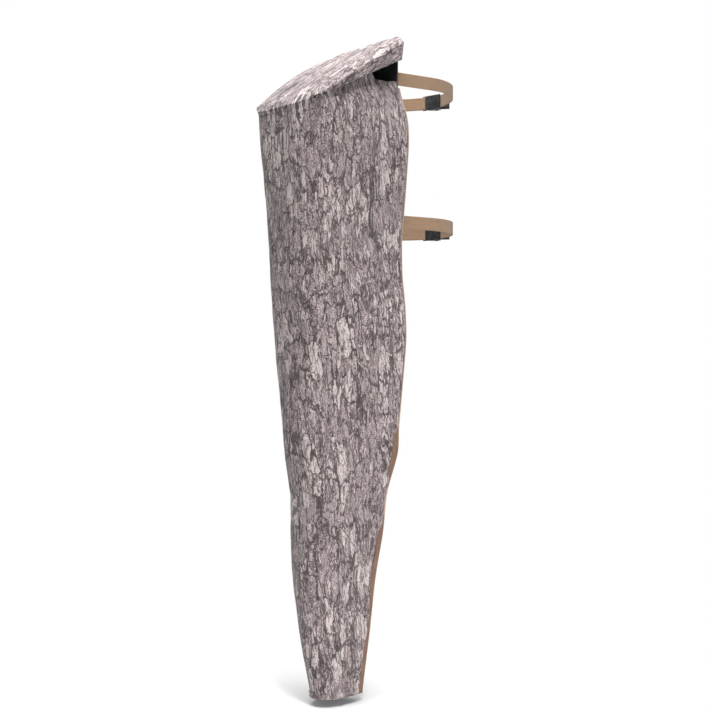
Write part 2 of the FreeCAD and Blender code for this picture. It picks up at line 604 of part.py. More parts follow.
def make_buckle(name, strap_z):
    """One cam buckle: its frame, cam lever, pin and spring."""
    plate_low = TRUNK_RADIUS + PLATE_LIFT
    plate_top = plate_low + PLATE_THICKNESS
    half_gap = STRAP_WIDTH / 2 + CHEEK_CLEARANCE
    half_width = half_gap + CHEEK_THICKNESS
    pivot = vector(PIVOT_ALONG, TRUNK_RADIUS + PIVOT_UP)

    def post(radius, z_from, z_to, centre=pivot):
        return Part.makeCylinder(radius, z_to - z_from, vector(centre.x, centre.y, strap_z + z_from), UP)

    frame = box((-PLATE_HALF_LENGTH, plate_low, strap_z - half_width),
                (PLATE_HALF_LENGTH, plate_top, strap_z + half_width))
    slot_to = -(PLATE_HALF_LENGTH - BAR_WIDTH) + SLOT_WIDTH
    frame = frame.cut(box((-(PLATE_HALF_LENGTH - BAR_WIDTH), plate_low - CUT, strap_z - half_gap),
                          (slot_to, plate_top + CUT, strap_z + half_gap)))
    top = plate_low + CHEEK_HEIGHT
    cheek = [
        (-CHEEK_BACK, plate_low), (CHEEK_FRONT, plate_low), (CHEEK_FRONT, plate_low + CHEEK_NOSE),
        (pivot.x + CHEEK_CROWN, top), (pivot.x - CHEEK_CROWN, top), (-CHEEK_BACK, plate_low + CHEEK_HEEL),
    ]
    for low in (-half_width, half_gap):
        frame = frame.fuse(prism_along_z(cheek, strap_z + low, strap_z + low + CHEEK_THICKNESS))
    frame = frame.cut(post(PIN_RADIUS + PIN_CLEARANCE, -half_width - CUT, half_width + CUT))
    leg_radius = PIN_RADIUS + SPRING_GAP + SPRING_WIRE / 2
    leg = pivot + vector(-leg_radius, 0)
    frame = frame.cut(post(SPRING_LEG / 2 + PIN_CLEARANCE, -half_width - CUT, -half_gap + CUT, leg))
    save(f"{name}_buckle_frame", frame.removeSplitter())

    pin = post(PIN_RADIUS, -half_width, half_width)
    for low in (-half_width - PIN_HEAD_THICKNESS, half_width):
        pin = pin.fuse(post(PIN_HEAD_RADIUS, low, low + PIN_HEAD_THICKNESS))
    save(f"{name}_cam_pin", pin.removeSplitter())

    lever_half = half_gap - LEVER_SIDE_GAP
    webbing_top = plate_top + LAYER_GAP + STRAP_THICKNESS
    lobe = vector(pivot.x - CAM_LOBE_OFFSET, webbing_top + CAM_BITE_GAP + CAM_LOBE_RADIUS)
    lever = post(CAM_DRUM_RADIUS, -lever_half, lever_half)
    lever = lever.fuse(post(CAM_LOBE_RADIUS, -lever_half, lever_half, lobe))
    plate = box((0, CAM_DRUM_RADIUS - LEVER_THICKNESS, -lever_half),
                (LEVER_LENGTH, CAM_DRUM_RADIUS, lever_half))
    plate.rotate(vector(0, 0, 0), UP, LEVER_ANGLE)
    plate.translate(vector(pivot.x, pivot.y, strap_z))
    lever = lever.fuse(plate)
    lever = lever.cut(post(PIN_RADIUS + PIN_CLEARANCE, -lever_half - CUT, lever_half + CUT))
    pocket = PIN_RADIUS + SPRING_GAP + SPRING_WIRE + SPRING_GAP
    spring_low = -lever_half - SPRING_GAP / 2
    lever = lever.cut(post(pocket, -lever_half - CUT, spring_low + SPRING_LENGTH + SPRING_GAP))
    save(f"{name}_cam_lever", lever.removeSplitter())

    coil = post(PIN_RADIUS + SPRING_GAP + SPRING_WIRE, spring_low, spring_low + SPRING_LENGTH)
    coil = coil.cut(post(PIN_RADIUS + SPRING_GAP, spring_low - CUT, spring_low + SPRING_LENGTH + CUT))
    coil = coil.fuse(post(SPRING_LEG / 2, -half_width, spring_low + SPRING_LEG_SUNK, leg))
    save(f"{name}_cam_spring", coil.removeSplitter())


make_wrap()
make_back_panel()
make_liner()
make_mouth_hem()
make_seam_bindings()
make_spout()
make_hood()
make_closure()
all_tacks = []
for strap_name, strap_z in (("upper", 0.0), ("lower", -STRAP_SPACING)):
    all_tacks += make_keepers(strap_name, strap_z)
    make_strap(strap_name, strap_z)
    make_buckle(strap_name, strap_z)
save("keeper_bartacks", *all_tacks)
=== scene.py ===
# %% [markdown]
# # A gravity bag feeder
# A tall cloth hopper hangs against a tree on two webbing straps and lets corn run out of its narrow
# end. The CAD model holds the true sizes and every hard part. Its cloth is only plain solids, so this
# lesson sews the cloth again as fine meshes, gives each surface its finish, and lights it plainly.

# %% Load the frame
import math

import bmesh
import bpy
import numpy as np
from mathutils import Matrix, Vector


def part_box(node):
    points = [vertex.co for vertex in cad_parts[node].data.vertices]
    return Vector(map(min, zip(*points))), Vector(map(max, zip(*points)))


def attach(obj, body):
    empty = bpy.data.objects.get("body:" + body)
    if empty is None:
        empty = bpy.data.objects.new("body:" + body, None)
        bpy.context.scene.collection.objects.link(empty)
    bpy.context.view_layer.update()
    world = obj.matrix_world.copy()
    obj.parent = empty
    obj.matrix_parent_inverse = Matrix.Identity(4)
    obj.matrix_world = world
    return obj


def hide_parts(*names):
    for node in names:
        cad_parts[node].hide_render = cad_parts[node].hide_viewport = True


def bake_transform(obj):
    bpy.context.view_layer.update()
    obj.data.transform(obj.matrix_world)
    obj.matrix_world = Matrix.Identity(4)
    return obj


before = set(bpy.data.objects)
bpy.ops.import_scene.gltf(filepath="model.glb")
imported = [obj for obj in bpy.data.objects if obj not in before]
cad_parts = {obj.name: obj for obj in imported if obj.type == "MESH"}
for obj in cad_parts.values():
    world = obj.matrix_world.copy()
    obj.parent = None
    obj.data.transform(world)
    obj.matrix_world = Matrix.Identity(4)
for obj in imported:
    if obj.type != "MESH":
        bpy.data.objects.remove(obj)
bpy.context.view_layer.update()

MM = 0.001

# %% [markdown]
# Cloth is never quite even. Three small functions give all the unevenness in this lesson: an eased
# step, a bell, and a ripple that looks random but comes out the same on every run. A fourth, `mix`,
# goes evenly from one thing to another. They work on whole arrays, so one line shapes thousands of
# points.

# %% Steps, bells and ripples
def ease(low, high, value):
    """0 at low, 1 at high, with soft ends."""
    share = np.clip((np.asarray(value, float) - low) / (high - low), 0, 1)
    return share * share * (3 - 2 * share)


def bell(value, centre, width):
    """A soft bump of height 1."""
    return np.exp(-(((value - centre) / width) ** 2))


def ripple(seed, across, along=0.0):
    """Repeatable unevenness from -1 to 1 that changes over about one unit."""
    table = np.random.default_rng(seed).uniform(-1, 1, (64, 64))
    across, along = np.broadcast_arrays(np.asarray(across, float), along)
    i, j = np.floor(across).astype(int), np.floor(along).astype(int)
    s, t = ease(0, 1, across - i), ease(0, 1, along - j)
    near = table[i % 64, j % 64] * (1 - s) + table[(i + 1) % 64, j % 64] * s
    far = table[i % 64, (j + 1) % 64] * (1 - s) + table[(i + 1) % 64, (j + 1) % 64] * s
    return near * (1 - t) + far * t


def mix(first, last, share):
    """From first to last as share goes from 0 to 1."""
    return first + (last - first) * share


print("a ripple's first values", ripple(1, np.arange(4) / 3).round(2))

# %% [markdown]
# Points are arrays too: x, y and z in the last place. Four more helpers put them together, give arrows
# the length 1, measure the way along a line of points, and find places on it by that measure.

# %% Points and lines
def spots(*parts):
    """Points from their coordinates, each of which may be an array or one number."""
    return np.stack(np.broadcast_arrays(*parts), -1)


def unit(arrows):
    """The same arrows, each 1 long."""
    return arrows / np.maximum(np.linalg.norm(arrows, axis=-1, keepdims=True), 1e-6)


def run_along(line):
    """How far along the line each of its points is."""
    return np.append(0, np.cumsum(np.linalg.norm(np.diff(line, axis=0), axis=1)))


def read_line(places, run, line):
    """The line's points at places along it."""
    return spots(*(np.interp(places, run, column) for column in line.T))


print("the way along a square's edge", run_along(np.array([(0, 0), (5, 0), (5, 5.0)])))

# %% [markdown]
# The hopper's shape is a table of plans: how far below the upper strap each one lies, half its width at
# the tree side and at the front, its depth, and how square its front corners are. Flat panels could be
# sewn and filled by a cloth simulation instead, but plans give the outline that is wanted at once.
# Filled cloth has no sharp change between two plans, so the table is read with a soft average.

# %% The hopper's plans, in millimetres
PLANS = np.array([
    (-62, 96, 90, 215, 4.6), (25, 95, 91, 216, 4.6), (62, 112, 91, 216, 4.5),
    (92, 119, 91, 215.5, 4.4), (130, 119.5, 91, 215, 4.2), (215, 112, 89, 209, 3.8),
    (300, 103, 87, 203, 3.4), (370, 106, 85, 196, 3.3), (430, 116, 83, 190, 3.1),
    (490, 121, 80, 183, 3.0), (590, 113, 76, 173, 2.8), (650, 108, 73, 166, 2.7),
    (700, 111, 71, 161, 2.7), (785, 80, 65, 145, 2.6), (850, 78, 65, 144, 2.5),
    (945, 60, 62, 136, 2.4), (1060, 48, 52, 114, 2.4), (1160, 35, 40, 88, 2.3),
])
SOFTEN = [(-36, 1), (-24, 6), (-12, 15), (0, 20), (12, 15), (24, 6), (36, 1)]
BACK = -113.0
LEAN_FROM, LEAN, SPOUT_Z = -270.0, 34.0, -1160.0
CLOTH = 1.5
STRAPS = ("upper", "lower")
STRAP_Z = [round(sum(corner[2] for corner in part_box(f"{strap}_strap")) / 2 / MM, 2) for strap in STRAPS]


def plan(z):
    """The plan's four measures at height z."""
    weights = sum(n for _, n in SOFTEN)
    return [sum(n * np.interp(shift - z, PLANS[:, 0], column) for shift, n in SOFTEN) / weights
            for column in PLANS.T[1:]]


def back_line(z):
    """The tree side of the hopper: upright by the straps, then leaning out to the spout."""
    return BACK - LEAN * np.maximum(0, LEAN_FROM - z) / (LEAN_FROM - SPOUT_Z)


def wall(turn, z):
    """Points of the hopper's wall. turn is 0 at the right back edge and pi at the left one."""
    back, front, depth, square = plan(z)
    power = 2 / square
    forward = np.abs(np.sin(turn)) ** power
    half = back + (front - back) * forward
    x = half * np.sign(np.cos(turn)) * np.abs(np.cos(turn)) ** power
    y = back_line(z) - CLOTH - (depth - CLOTH) * forward
    return spots(x, y, z)


print("straps at", STRAP_Z, "- plan at the upper one", np.round(plan(0.0), 1))

# %% [markdown]
# The wall becomes a grid of points: levels 4 mm apart from top to bottom, and columns evenly spaced
# round the cloth. Even spacing matters because the cloth's own coordinates come from it: how far round
# from the middle of the front, and how high. The print is drawn in those, so it bends with the cloth.

# %% The even grid
COLUMNS = 241
TOP_Z, LEVEL_STEP = 16.0, 4.0
LEVELS = np.append(np.arange(TOP_Z, SPOUT_Z, -LEVEL_STEP), SPOUT_Z)


def even_level(z):
    """One level's points, turns and distance round from the front's middle, evenly spaced."""
    turns = np.pi * ease(0, 1, ease(0, 1, np.linspace(0, 1, 1600)))
    points = wall(turns, z)
    run = run_along(points)
    places = np.linspace(0, run[-1], COLUMNS)
    return read_line(places, run, points), np.interp(places, run, turns), run[-1] / 2 - places


grid, TURN, AROUND = (np.array(part) for part in zip(*[even_level(z) for z in LEVELS]))
HEIGHT = LEVELS[:, None] + 0 * AROUND
GIRTH = AROUND[:, :1]
CORNER = np.array([np.interp(math.pi / 4, turn, run) for turn, run in zip(TURN, AROUND)])[:, None]
print("levels", len(LEVELS), "columns", COLUMNS, "- round the top", round(float(GIRTH[20, 0]) * 2), "mm")

# %% [markdown]
# Now the cloth gets its life. A full bag pulls into long upright swells, creases at its front corners
# and puckers beside the sewn seams. A cloth simulation could make such folds, but not at chosen places,
# so each is one line here: a ripple or a bell, times where it belongs.

# %% Swells, creases and puckers
def seam_turn(z, sign):
    """How the seam's tape lies: 0 folded flat behind the bag, 1 standing at its side."""
    waist = 1 - 0.75 * bell(z, -792, 42)
    return ease(-628, -672, z) * waist * (0.86 + 0.14 * ripple(6, z / 60 + 20, sign))


side = np.sign(AROUND)
from_corner = np.abs(AROUND) - CORNER
from_seam = GIRTH - np.abs(AROUND)

swell = 1.5 * ripple(1, AROUND / 62 + 20, HEIGHT / 240 + 20)
swell += 0.6 * ripple(2, AROUND / 21 + 20, HEIGHT / 90 + 20)
crumple = 0.45 * ripple(3, AROUND / 9 + 40, HEIGHT / 17 + 40)
corner_line = bell(from_corner, 0, 6) * (1.8 + 0.8 * ripple(4, HEIGHT / 60 + 20, side))
corner_line *= ease(-860, -700, HEIGHT)
corner_line -= 1.2 * bell(from_corner, 13, 8) * ease(-560, -420, HEIGHT)

pucker_size = 0.9 + 2.6 * bell(HEIGHT, -775, 95) + 1.0 * bell(HEIGHT, -640, 60)
beside_seam = ease(12, 20, from_seam) * np.exp(-np.maximum(0, from_seam - 18) / 24)
pucker = pucker_size * beside_seam * ripple(5, HEIGHT / 15 + 20, side * 3.3 + from_seam / 60)
print("swells reach", swell.max().round(1), "mm and puckers", pucker.max().round(1), "mm")

# %% [markdown]
# At the waist the load thins out, so the cloth sags into slanting folds, and a few dents sink in beside
# the seams. The dents on the right are the deeper ones.

# %% The waist's folds and dents
slant = HEIGHT + 795 + 0.42 * (from_seam - 60) * np.where(side > 0, 1, 0.6)
waist_folds = 3.8 * np.sin(slant / 7.5) * bell(slant, 0, 26) * bell(from_seam, 62, 46)
shallow = np.sin((HEIGHT + 742 - 0.3 * from_seam) / 6.5)
waist_folds += 2.4 * shallow * bell(HEIGHT, -742, 16) * bell(from_seam, 40, 30)
dent = -8.5 * bell(HEIGHT, -681, 17) * bell(from_seam, 34, 20) * (side > 0)
dent -= 4.5 * bell(HEIGHT, -655, 15) * bell(from_seam, 38, 22) * (side < 0)
dent -= 5.5 * bell(HEIGHT, -806, 20) * bell(from_seam, 48, 26)
print("folds rise", waist_folds.max().round(1), "mm and dents sink", -dent.min().round(1), "mm")

# %% [markdown]
# Under each end of the hood's fold the spare cloth of the corner lies in two pleats. The rim of the
# mouth folds out where it gapes, and the wall is drawn in under the hood, so that the hood's edge stands
# clear of it. All of this then moves the grid along the way out of the cloth.

# %% The pleats, the rim and the push
top_fade = ease(-150, -72, HEIGHT)
pleats = -9.0 * top_fade * bell(from_corner, -9 + 5 * (1 - top_fade), 3.2)
pleats -= 7.5 * top_fade * bell(from_corner, 4 - 3 * (1 - top_fade), 3.0)
pleats += 2.0 * top_fade * bell(from_corner, -3, 3.2)
gape = from_seam - 62 - 0.28 * (HEIGHT - 3)
rim_fold = 4.2 * bell(gape, 0, 5) * ease(-95, -12, HEIGHT)
rim_fold -= 3.6 * bell(gape, -14, 8) * ease(-80, -8, HEIGHT)
under_hood = ease(-58, -12, HEIGHT + 46 * ease(-175, -330, grid[..., 1]))
tuck = -12.0 * under_hood * ease(8, 26, from_corner)

filled = ease(-1120, -1000, HEIGHT)
push = filled * (swell + crumple + corner_line + pucker + waist_folds + dent)
push = (push + pleats + rim_fold + tuck) * ease(9, 16, from_seam)
push += 3.3 * (1 - seam_turn(HEIGHT, side)) * ease(52, 10, from_seam) * ease(-14, -34, HEIGHT)
across = np.gradient(grid, axis=1)
OUT = unit(spots(-across[..., 1], across[..., 0], 0.0))
grid = grid + OUT * push[..., None]
print("cloth moves between", round(float(push.min()), 1), "and", round(float(push.max()), 1), "mm")

# %% [markdown]
# Every later piece that touches the wall, such as a hem, a stitch or the hood, has to find the creased
# surface again. `on_wall` reads the grid at any height of a column, and `off_wall` goes behind it.

# %% Finding the wall again
def on_wall(z, columns=slice(None), inset=0.0):
    """Points of the creased wall: z has a row for each level and a column for each in columns."""
    places = [grid[:, columns] - OUT[:, columns] * inset, AROUND[:, columns, None]]
    stack = np.concatenate(places, axis=2)
    count = stack.shape[1]
    z = np.broadcast_to(z, (len(z), count))
    found = np.empty(z.shape + (4,))
    for c in range(count):
        for k in range(4):
            found[:, c, k] = np.interp(-z[:, c], -LEVELS, stack[:, c, k])
    return found[..., :3], np.stack([found[..., 3], z], -1)


def off_wall(z, columns, depth):
    """Points behind the creased wall by depth, or in front of it where depth is less than 0."""
    face, where = on_wall(z, columns)
    behind, _ = on_wall(z, columns, 1.0)
    return face + (behind - face) * np.asarray(depth)[..., None], where


middle = slice(COLUMNS // 2, COLUMNS // 2 + 1)
print("the wall's middle at z = -100 is", on_wall(np.array([[-100.0]]), middle)[0].round(1))

# %% [markdown]
# `sheet` turns a grid of points into a smooth mesh. A plane could be subdivided and pushed about, but
# then its UV map would have to be unwrapped afterwards. Here the map holds the cloth's own coordinates
# from the start, so a print or a weave keeps its size wherever the cloth goes.

# %% From grids to sheets
def sheet(name, points, cloth_map):
    """A smooth sheet through rows and columns of points, with its map in the cloth's own metres."""
    rows, columns = points.shape[:2]
    number = np.arange(rows * columns).reshape(rows, columns)
    faces = np.stack([number[:-1, :-1], number[:-1, 1:], number[1:, 1:], number[1:, :-1]], -1)
    mesh = bpy.data.meshes.new(name)
    mesh.from_pydata((points * MM).reshape(-1, 3).tolist(), [], faces.reshape(-1, 4).tolist())
    corners = np.empty(len(mesh.loops), np.int32)
    mesh.loops.foreach_get("vertex_index", corners)
    layer = mesh.uv_layers.new(name="cloth")
    layer.data.foreach_set("uv", (cloth_map * MM).reshape(-1, 2)[corners].ravel())
    return placed(name, mesh)


def placed(name, mesh):
    """Puts a mesh in the scene, smooth all over."""
    mesh.shade_smooth()
    piece = bpy.data.objects.new(name, mesh)
    bpy.context.scene.collection.objects.link(piece)
    return piece


print("made for grids:", sheet.__name__, "and", placed.__name__)

# %% [markdown]
# A sheet is then finished like real cloth. `mended` welds points that meet, `thicken` gives it two
# sides, each with its own finish, and `fit` hangs it on its body. A Solidify modifier is the easy way
# to a thickness. It is fixed into the mesh at once, so what is measured later is the real shape.

# %% From sheets to cloth
WELD = 0.02


def mended(piece, distance=WELD, closed=False):
    """Welds points nearer than distance; a closed piece also gets its open ends filled."""
    shape = bmesh.new()
    shape.from_mesh(piece.data)
    bmesh.ops.remove_doubles(shape, verts=shape.verts, dist=distance * MM)
    if closed:
        bmesh.ops.holes_fill(shape, edges=[e for e in shape.edges if e.is_boundary], sides=0)
        bmesh.ops.recalc_face_normals(shape, faces=shape.faces)
    else:
        bmesh.ops.dissolve_degenerate(shape, edges=shape.edges, dist=distance * MM)
    shape.to_mesh(piece.data)
    shape.free()
    return piece


def thicken(piece, thickness, outside, inside=None):
    """Gives a sheet its thickness, inwards, and the finishes of its two sides."""
    piece.data.materials.append(outside)
    piece.data.materials.append(inside or outside)
    solid = piece.modifiers.new("thickness", "SOLIDIFY")
    solid.thickness, solid.offset, solid.material_offset = thickness * MM, -1, 1
    graph = bpy.context.evaluated_depsgraph_get()
    fixed = bpy.data.meshes.new_from_object(
        piece.evaluated_get(graph), preserve_all_data_layers=True, depsgraph=graph)
    piece.modifiers.clear()
    piece.data = fixed
    return piece


def fit(piece, body, slot, *solids):
    """Hangs a piece on its body and lets it stand for its CAD solids; slot is not used."""
    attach(piece, body)
    if solids:
        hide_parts(*solids)
    return piece


print("points nearer than", WELD, "mm are welded")

# %% [markdown]
# Materials are written as sums. `Value` wraps one output socket of a shader node and gives Python's
# operators a meaning: `a * 2 + b` adds the Math nodes for it.

# %% Values that add their own nodes
class Value:
    """One output socket of a finish, which Python's operators work on."""

    def __init__(self, finish, socket):
        self.finish, self.socket = finish, socket

    def math(self, operation, *values):
        return self.finish.node("ShaderNodeMath", {"operation": operation}, dict(enumerate(values)))

    def __add__(self, other):
        return self.math("ADD", self, other)

    def __sub__(self, other):
        return self.math("SUBTRACT", self, other)

    def __rsub__(self, other):
        return self.math("SUBTRACT", other, self)

    def __mul__(self, other):
        return self.math("MULTIPLY", self, other)

    def __truediv__(self, other):
        return self.math("DIVIDE", self, other)

    def __rtruediv__(self, other):
        return self.math("DIVIDE", other, self)

    def __abs__(self):
        return self.math("ABSOLUTE", self)

    def ribs(self, pitch):
        """Round ribs from 0 to 1, one in each pitch."""
        turned = self * (math.pi / pitch)
        return abs(turned.math("SINE", turned))

    __radd__, __rmul__ = __add__, __mul__


print("a value knows", sorted(word for word in vars(Value) if word.startswith("__r")))

# %% [markdown]
# `Finish` is one material, or the sky. Its `node` method makes every other kind of node: the settings
# first, then the inputs, which may be numbers, colours or values. The rest of its methods are the few
# nodes that each cloth, metal and plastic here needs again and again.

# %% Finishes
class Finish:
    """A material, or the sky, built node by node."""

    def __init__(self, name, kind="materials"):
        self.material = getattr(bpy.data, kind).new(name)
        self.material.use_nodes = True
        self.tree = self.material.node_tree
        self.tree.nodes.clear()

    def node(self, kind, settings=None, inputs=None, out=0):
        """Adds a node, sets it up, feeds its sockets, and returns one of its outputs."""
        made = self.tree.nodes.new(kind)
        for setting, value in (settings or {}).items():
            setattr(made, setting, value)
        for name, value in (inputs or {}).items():
            if isinstance(value, Value):
                self.tree.links.new(value.socket, made.inputs[name])
            else:
                made.inputs[name].default_value = value
        return Value(self, made.outputs[out]) if made.outputs else None

    def parts(self, vector):
        """The x, y and z of a vector, in millimetres."""
        return [self.node("ShaderNodeSeparateXYZ", {}, {0: vector}, out=k) * 1000 for k in range(3)]

    def point(self, x, y, z=0.0):
        return self.node("ShaderNodeCombineXYZ", {}, {0: x, 1: y, 2: z})

    def cloth(self):
        """Where a point is on the cloth: across and along."""
        return self.parts(self.node("ShaderNodeUVMap", {"uv_map": "cloth"}))[:2]

    def place(self):
        """Where a point is on the object."""
        return self.parts(self.node("ShaderNodeTexCoord", {}, {}, out=3))

    def noise(self, x, y, z=0.0, detail=2.0, roughness=0.5):
        return self.node("ShaderNodeTexNoise", {}, {
            "Vector": self.point(x, y, z), "Scale": 1.0, "Detail": detail, "Roughness": roughness})

    def step(self, value, low, high):
        """0 where value is under low, 1 where it is over high; low may be the greater."""
        if low > high:
            return 1 - self.step(value, high, low)
        return self.node("ShaderNodeMapRange", {"interpolation_type": "SMOOTHSTEP"}, {
            "Value": value, "From Min": low, "From Max": high})

    def blend(self, first, last, share):
        """Two colours mixed."""
        inputs = {"Factor": share, 6: first, 7: last}
        return self.node("ShaderNodeMix", {"data_type": "RGBA"}, inputs, out=2)

    def shade(self, colour, roughness, height=None, relief=0.1, **plain):
        """The surface itself. height is in millimetres; plain numbers go straight on the shader."""
        surface = {"Base Color": colour, "Roughness": roughness, **plain}
        if height is not None:
            surface["Normal"] = self.node("ShaderNodeBump", {}, {
                "Height": height, "Distance": MM, "Strength": relief})
        return self.finished(self.node("ShaderNodeBsdfPrincipled", {}, surface))

    def finished(self, shader, kind="ShaderNodeOutputMaterial"):
        """Sends a shader to the output, and gives back what was made."""
        self.node(kind, {}, {"Surface": shader})
        return self.material

    def seen_rays(self):
        """1 where the camera looks, straight or by way of metal or glass, and 0 for light."""
        kinds = ("Is Camera Ray", "Is Glossy Ray", "Is Transmission Ray")
        camera, glossy, through = (self.node("ShaderNodeLightPath", {}, {}, out=kind) for kind in kinds)
        return camera + glossy + through


def ink(code):
    """A screen colour, such as 8a7d7c, as linear light."""
    levels = [int(code[k:k + 2], 16) / 255 for k in (0, 2, 4)]
    return tuple(v / 12.92 if v <= 0.04045 else ((v + 0.055) / 1.055) ** 2.4 for v in levels) + (1.0,)


print("a middle grey-mauve in linear light", [round(v, 3) for v in ink("8a7d7c")])

# %% [markdown]
# Two patterns are needed for the printed cloth. A weave is two sets of ribs multiplied. Bark is made of
# cells: stretched ones measured with the "Chebychev" distance have straight sides and blunt or pointed
# ends, as flakes of bark do, where the usual round distance gives something like pebbles.

# %% The weave and the cells of bark
WEAVE = 0.55


def weave(u, v, pitch):
    """The height of a plain weave, from 0 to 1."""
    return u.ribs(pitch) * v.ribs(pitch)


def plates(f, u, v, wide, tall, seed):
    """Cells of bark: a random number for each, and how near its edge is."""
    where = f.point(u / wide, v / tall, seed)

    def cells(feature, out=0):
        look = {"voronoi_dimensions": "3D", "distance": "CHEBYCHEV", "feature": feature}
        inputs = {"Vector": where, "Scale": 1.0, "Randomness": 0.9}
        return f.node("ShaderNodeTexVoronoi", look, inputs, out=out)

    return f.node("ShaderNodeSeparateColor", {}, {0: cells("F1", 1)}), cells("F2") - cells("F1")


def wandering_lines(f, u, v, seed, roughness):
    """0 in the middle of thin lines that wander over the cloth, and more beside them."""
    return abs(f.noise(u, v, seed, 2.0, roughness) - 0.5)


print("the weave repeats every", WEAVE, "mm")

# %% [markdown]
# The print is a generic bark: a stippled grey-mauve ground, pale ragged plates, and dark fissures that
# wander upwards and branch. The cells' own coordinates are bent by noise, which makes their edges
# ragged. The print is then laid down in layers, like inks, each with its colour and where it goes:
# tinted plates and shaded patches, pale plates and flakes, then fissures, their branches, and the dark
# outlines of big and small plates. The weave goes into the bump.

# %% The bark print
def bark_cloth():
    f = Finish("bark_print_cloth")
    u, v = f.cloth()
    drift = f.noise(u / 40, v / 120, 3.0, 2.0) - 0.5
    rag_u = f.noise(u / 6, v / 9, 9.0, 3.0, 0.6) - 0.5
    rag_v = f.noise(u / 7, v / 10, 23.0, 3.0, 0.6) - 0.5
    bent_u = u + drift * 26 + rag_u * 7
    bent_v = v + (f.noise(u / 15, v / 50, 5.0) - 0.5) * 44 + rag_v * 15
    big, big_gap = plates(f, bent_u, bent_v, wide=19, tall=56, seed=1.3)
    small, small_gap = plates(f, bent_u, bent_v, wide=9, tall=31, seed=7.7)
    fissure = wandering_lines(f, bent_u / 9, bent_v / 70, 14.0, 0.5)
    branch = wandering_lines(f, bent_u / 5, bent_v / 22, 19.0, 0.6)
    stipple = f.noise(u / 1.7, v / 2.3, 6.0, 3.0, 0.75)
    grain = f.noise(bent_u / 2.4, v / 9, 2.0, 3.0, 0.7)
    tone = f.noise(u / 34, v / 70, 11.0, 2.0)

    texture = stipple * 0.60 + grain * 0.40
    pale = f.blend(ink("968a88"), ink("bbb0ae"), f.step(texture, 0.36, 0.56))
    print_colour = f.blend(ink("4a3f40"), ink("b5a6a7"), f.step(texture, 0.40, 0.60))
    layers = (
        (ink("9d9191"), f.step(big, 0.35, 0.75) * 0.34),
        (ink("8d7a6c"), f.step(small, 0.70, 0.95) * 0.20),
        (ink("4a4141"), f.step(tone, 0.52, 0.30) * 0.28),
        (pale, f.step(big, 0.79, 0.80) * f.step(big_gap, 0.06, 0.10) * 0.82),
        (pale, f.step(small, 0.78, 0.79) * f.step(small_gap, 0.07, 0.12) * 0.74),
        (ink("332b2c"), f.step(fissure, 0.032, 0.012) * f.step(tone, 0.26, 0.44) * 0.80),
        (ink("3b3233"), f.step(branch, 0.034, 0.010) * 0.72),
        (ink("322a2c"), f.step(big_gap, 0.085, 0.03) * f.step(rag_u + tone, 0.34, 0.48) * 0.85),
        (ink("382f31"), f.step(small_gap, 0.10, 0.04) * f.step(small, 0.48, 0.68) * 0.78),
    )
    for tint, where in layers:
        print_colour = f.blend(print_colour, tint, where)
    height = weave(u, v, WEAVE) * 0.22 + stipple * 0.1
    return f.shade(print_colour, 0.80 + 0.12 * stipple, height, 0.35, **{
        "Sheen Weight": 0.12, "Sheen Roughness": 0.6, "Specular IOR Level": 0.25})


bark = bark_cloth()
print(bark.name, "has", len(bark.node_tree.nodes), "nodes")

# %% [markdown]
# The lining is a black waterproof coating with a faint satin shine and fine crazing where it creased.
# The back panel is plain brown polyester: weave, slubs and a little dust.

# %% The lining and the plain brown cloth
def coated_lining():
    f = Finish("black_coated_lining")
    u, v = f.cloth()
    crease = abs(f.noise(u / 13, v / 16, 1.0, 4.0) - 0.5)
    colour = f.blend(ink("17171a"), ink("2b2b2f"), f.step(crease, 0.05, 0.0) * 0.6)
    rough = 0.46 + 0.2 * f.noise(u / 30, v / 30, 4.0, 3.0)
    return f.shade(colour, rough, weave(u, v, WEAVE) * 0.12 + crease * 0.8, 0.4)


def plain_cloth(name, deep, light, pitch):
    f = Finish(name)
    u, v = f.cloth()
    slub = f.noise(u / 0.8, v / 9, 1.0, 2.0) * 0.5 + f.noise(u / 9, v / 0.8, 2.0, 2.0) * 0.5
    dust = f.noise(u / 60, v / 90, 3.0, 4.0, 0.6)
    colour = f.blend(ink(deep), ink(light), f.step(slub, 0.38, 0.62))
    colour = f.blend(colour, ink("a39384"), f.step(dust, 0.52, 0.75) * 0.25)
    return f.shade(colour, 0.84 + 0.1 * dust, weave(u, v, pitch) * 0.3 + slub * 0.15, 0.4, **{
        "Sheen Weight": 0.1, "Specular IOR Level": 0.25})


lining = coated_lining()
brown = plain_cloth("brown_back_cloth", "6b5348", "8a7061", 0.6)
print("cloth finishes", [m.name for m in (lining, brown)])

# %% [markdown]
# The wrap is the printed cloth round the front and sides. At the front its top edge is where the hood's
# cloth takes over; at the sides the rim climbs under the hood to a peak and then drops, so the corner
# of the mouth gapes. Rows are packed more closely near that rim, where the shape changes fastest.

# %% The wrap
FOLD_Z = -84.0
COATED = 1.2
WRAP_ROWS = 200


def rim_height(y):
    """The side panels' rim over y."""
    return np.interp(y, [-329, -262, -173, -156, 0], [-73, -34, 5, -9, -9])


level = int(np.argmin(np.abs(LEVELS - FOLD_Z)))
rim = rim_height(grid[level, :, 1])
for _ in range(3):
    rim = rim_height(on_wall(rim[None, :])[0][0, :, 1])
rim = mix(FOLD_Z, rim, ease(-36, -26, from_corner[level]))
way_down = np.linspace(0, 1, WRAP_ROWS)[:, None] ** 1.12
wrap = sheet("camo_wrap", *on_wall(mix(rim[None, :], SPOUT_Z, way_down)))
thicken(wrap, COATED, bark, lining)
fit(wrap, "bag", "camo_cloth", "front_panel", "right_side_panel", "left_side_panel")
print("the wrap has", len(wrap.data.polygons), "faces")

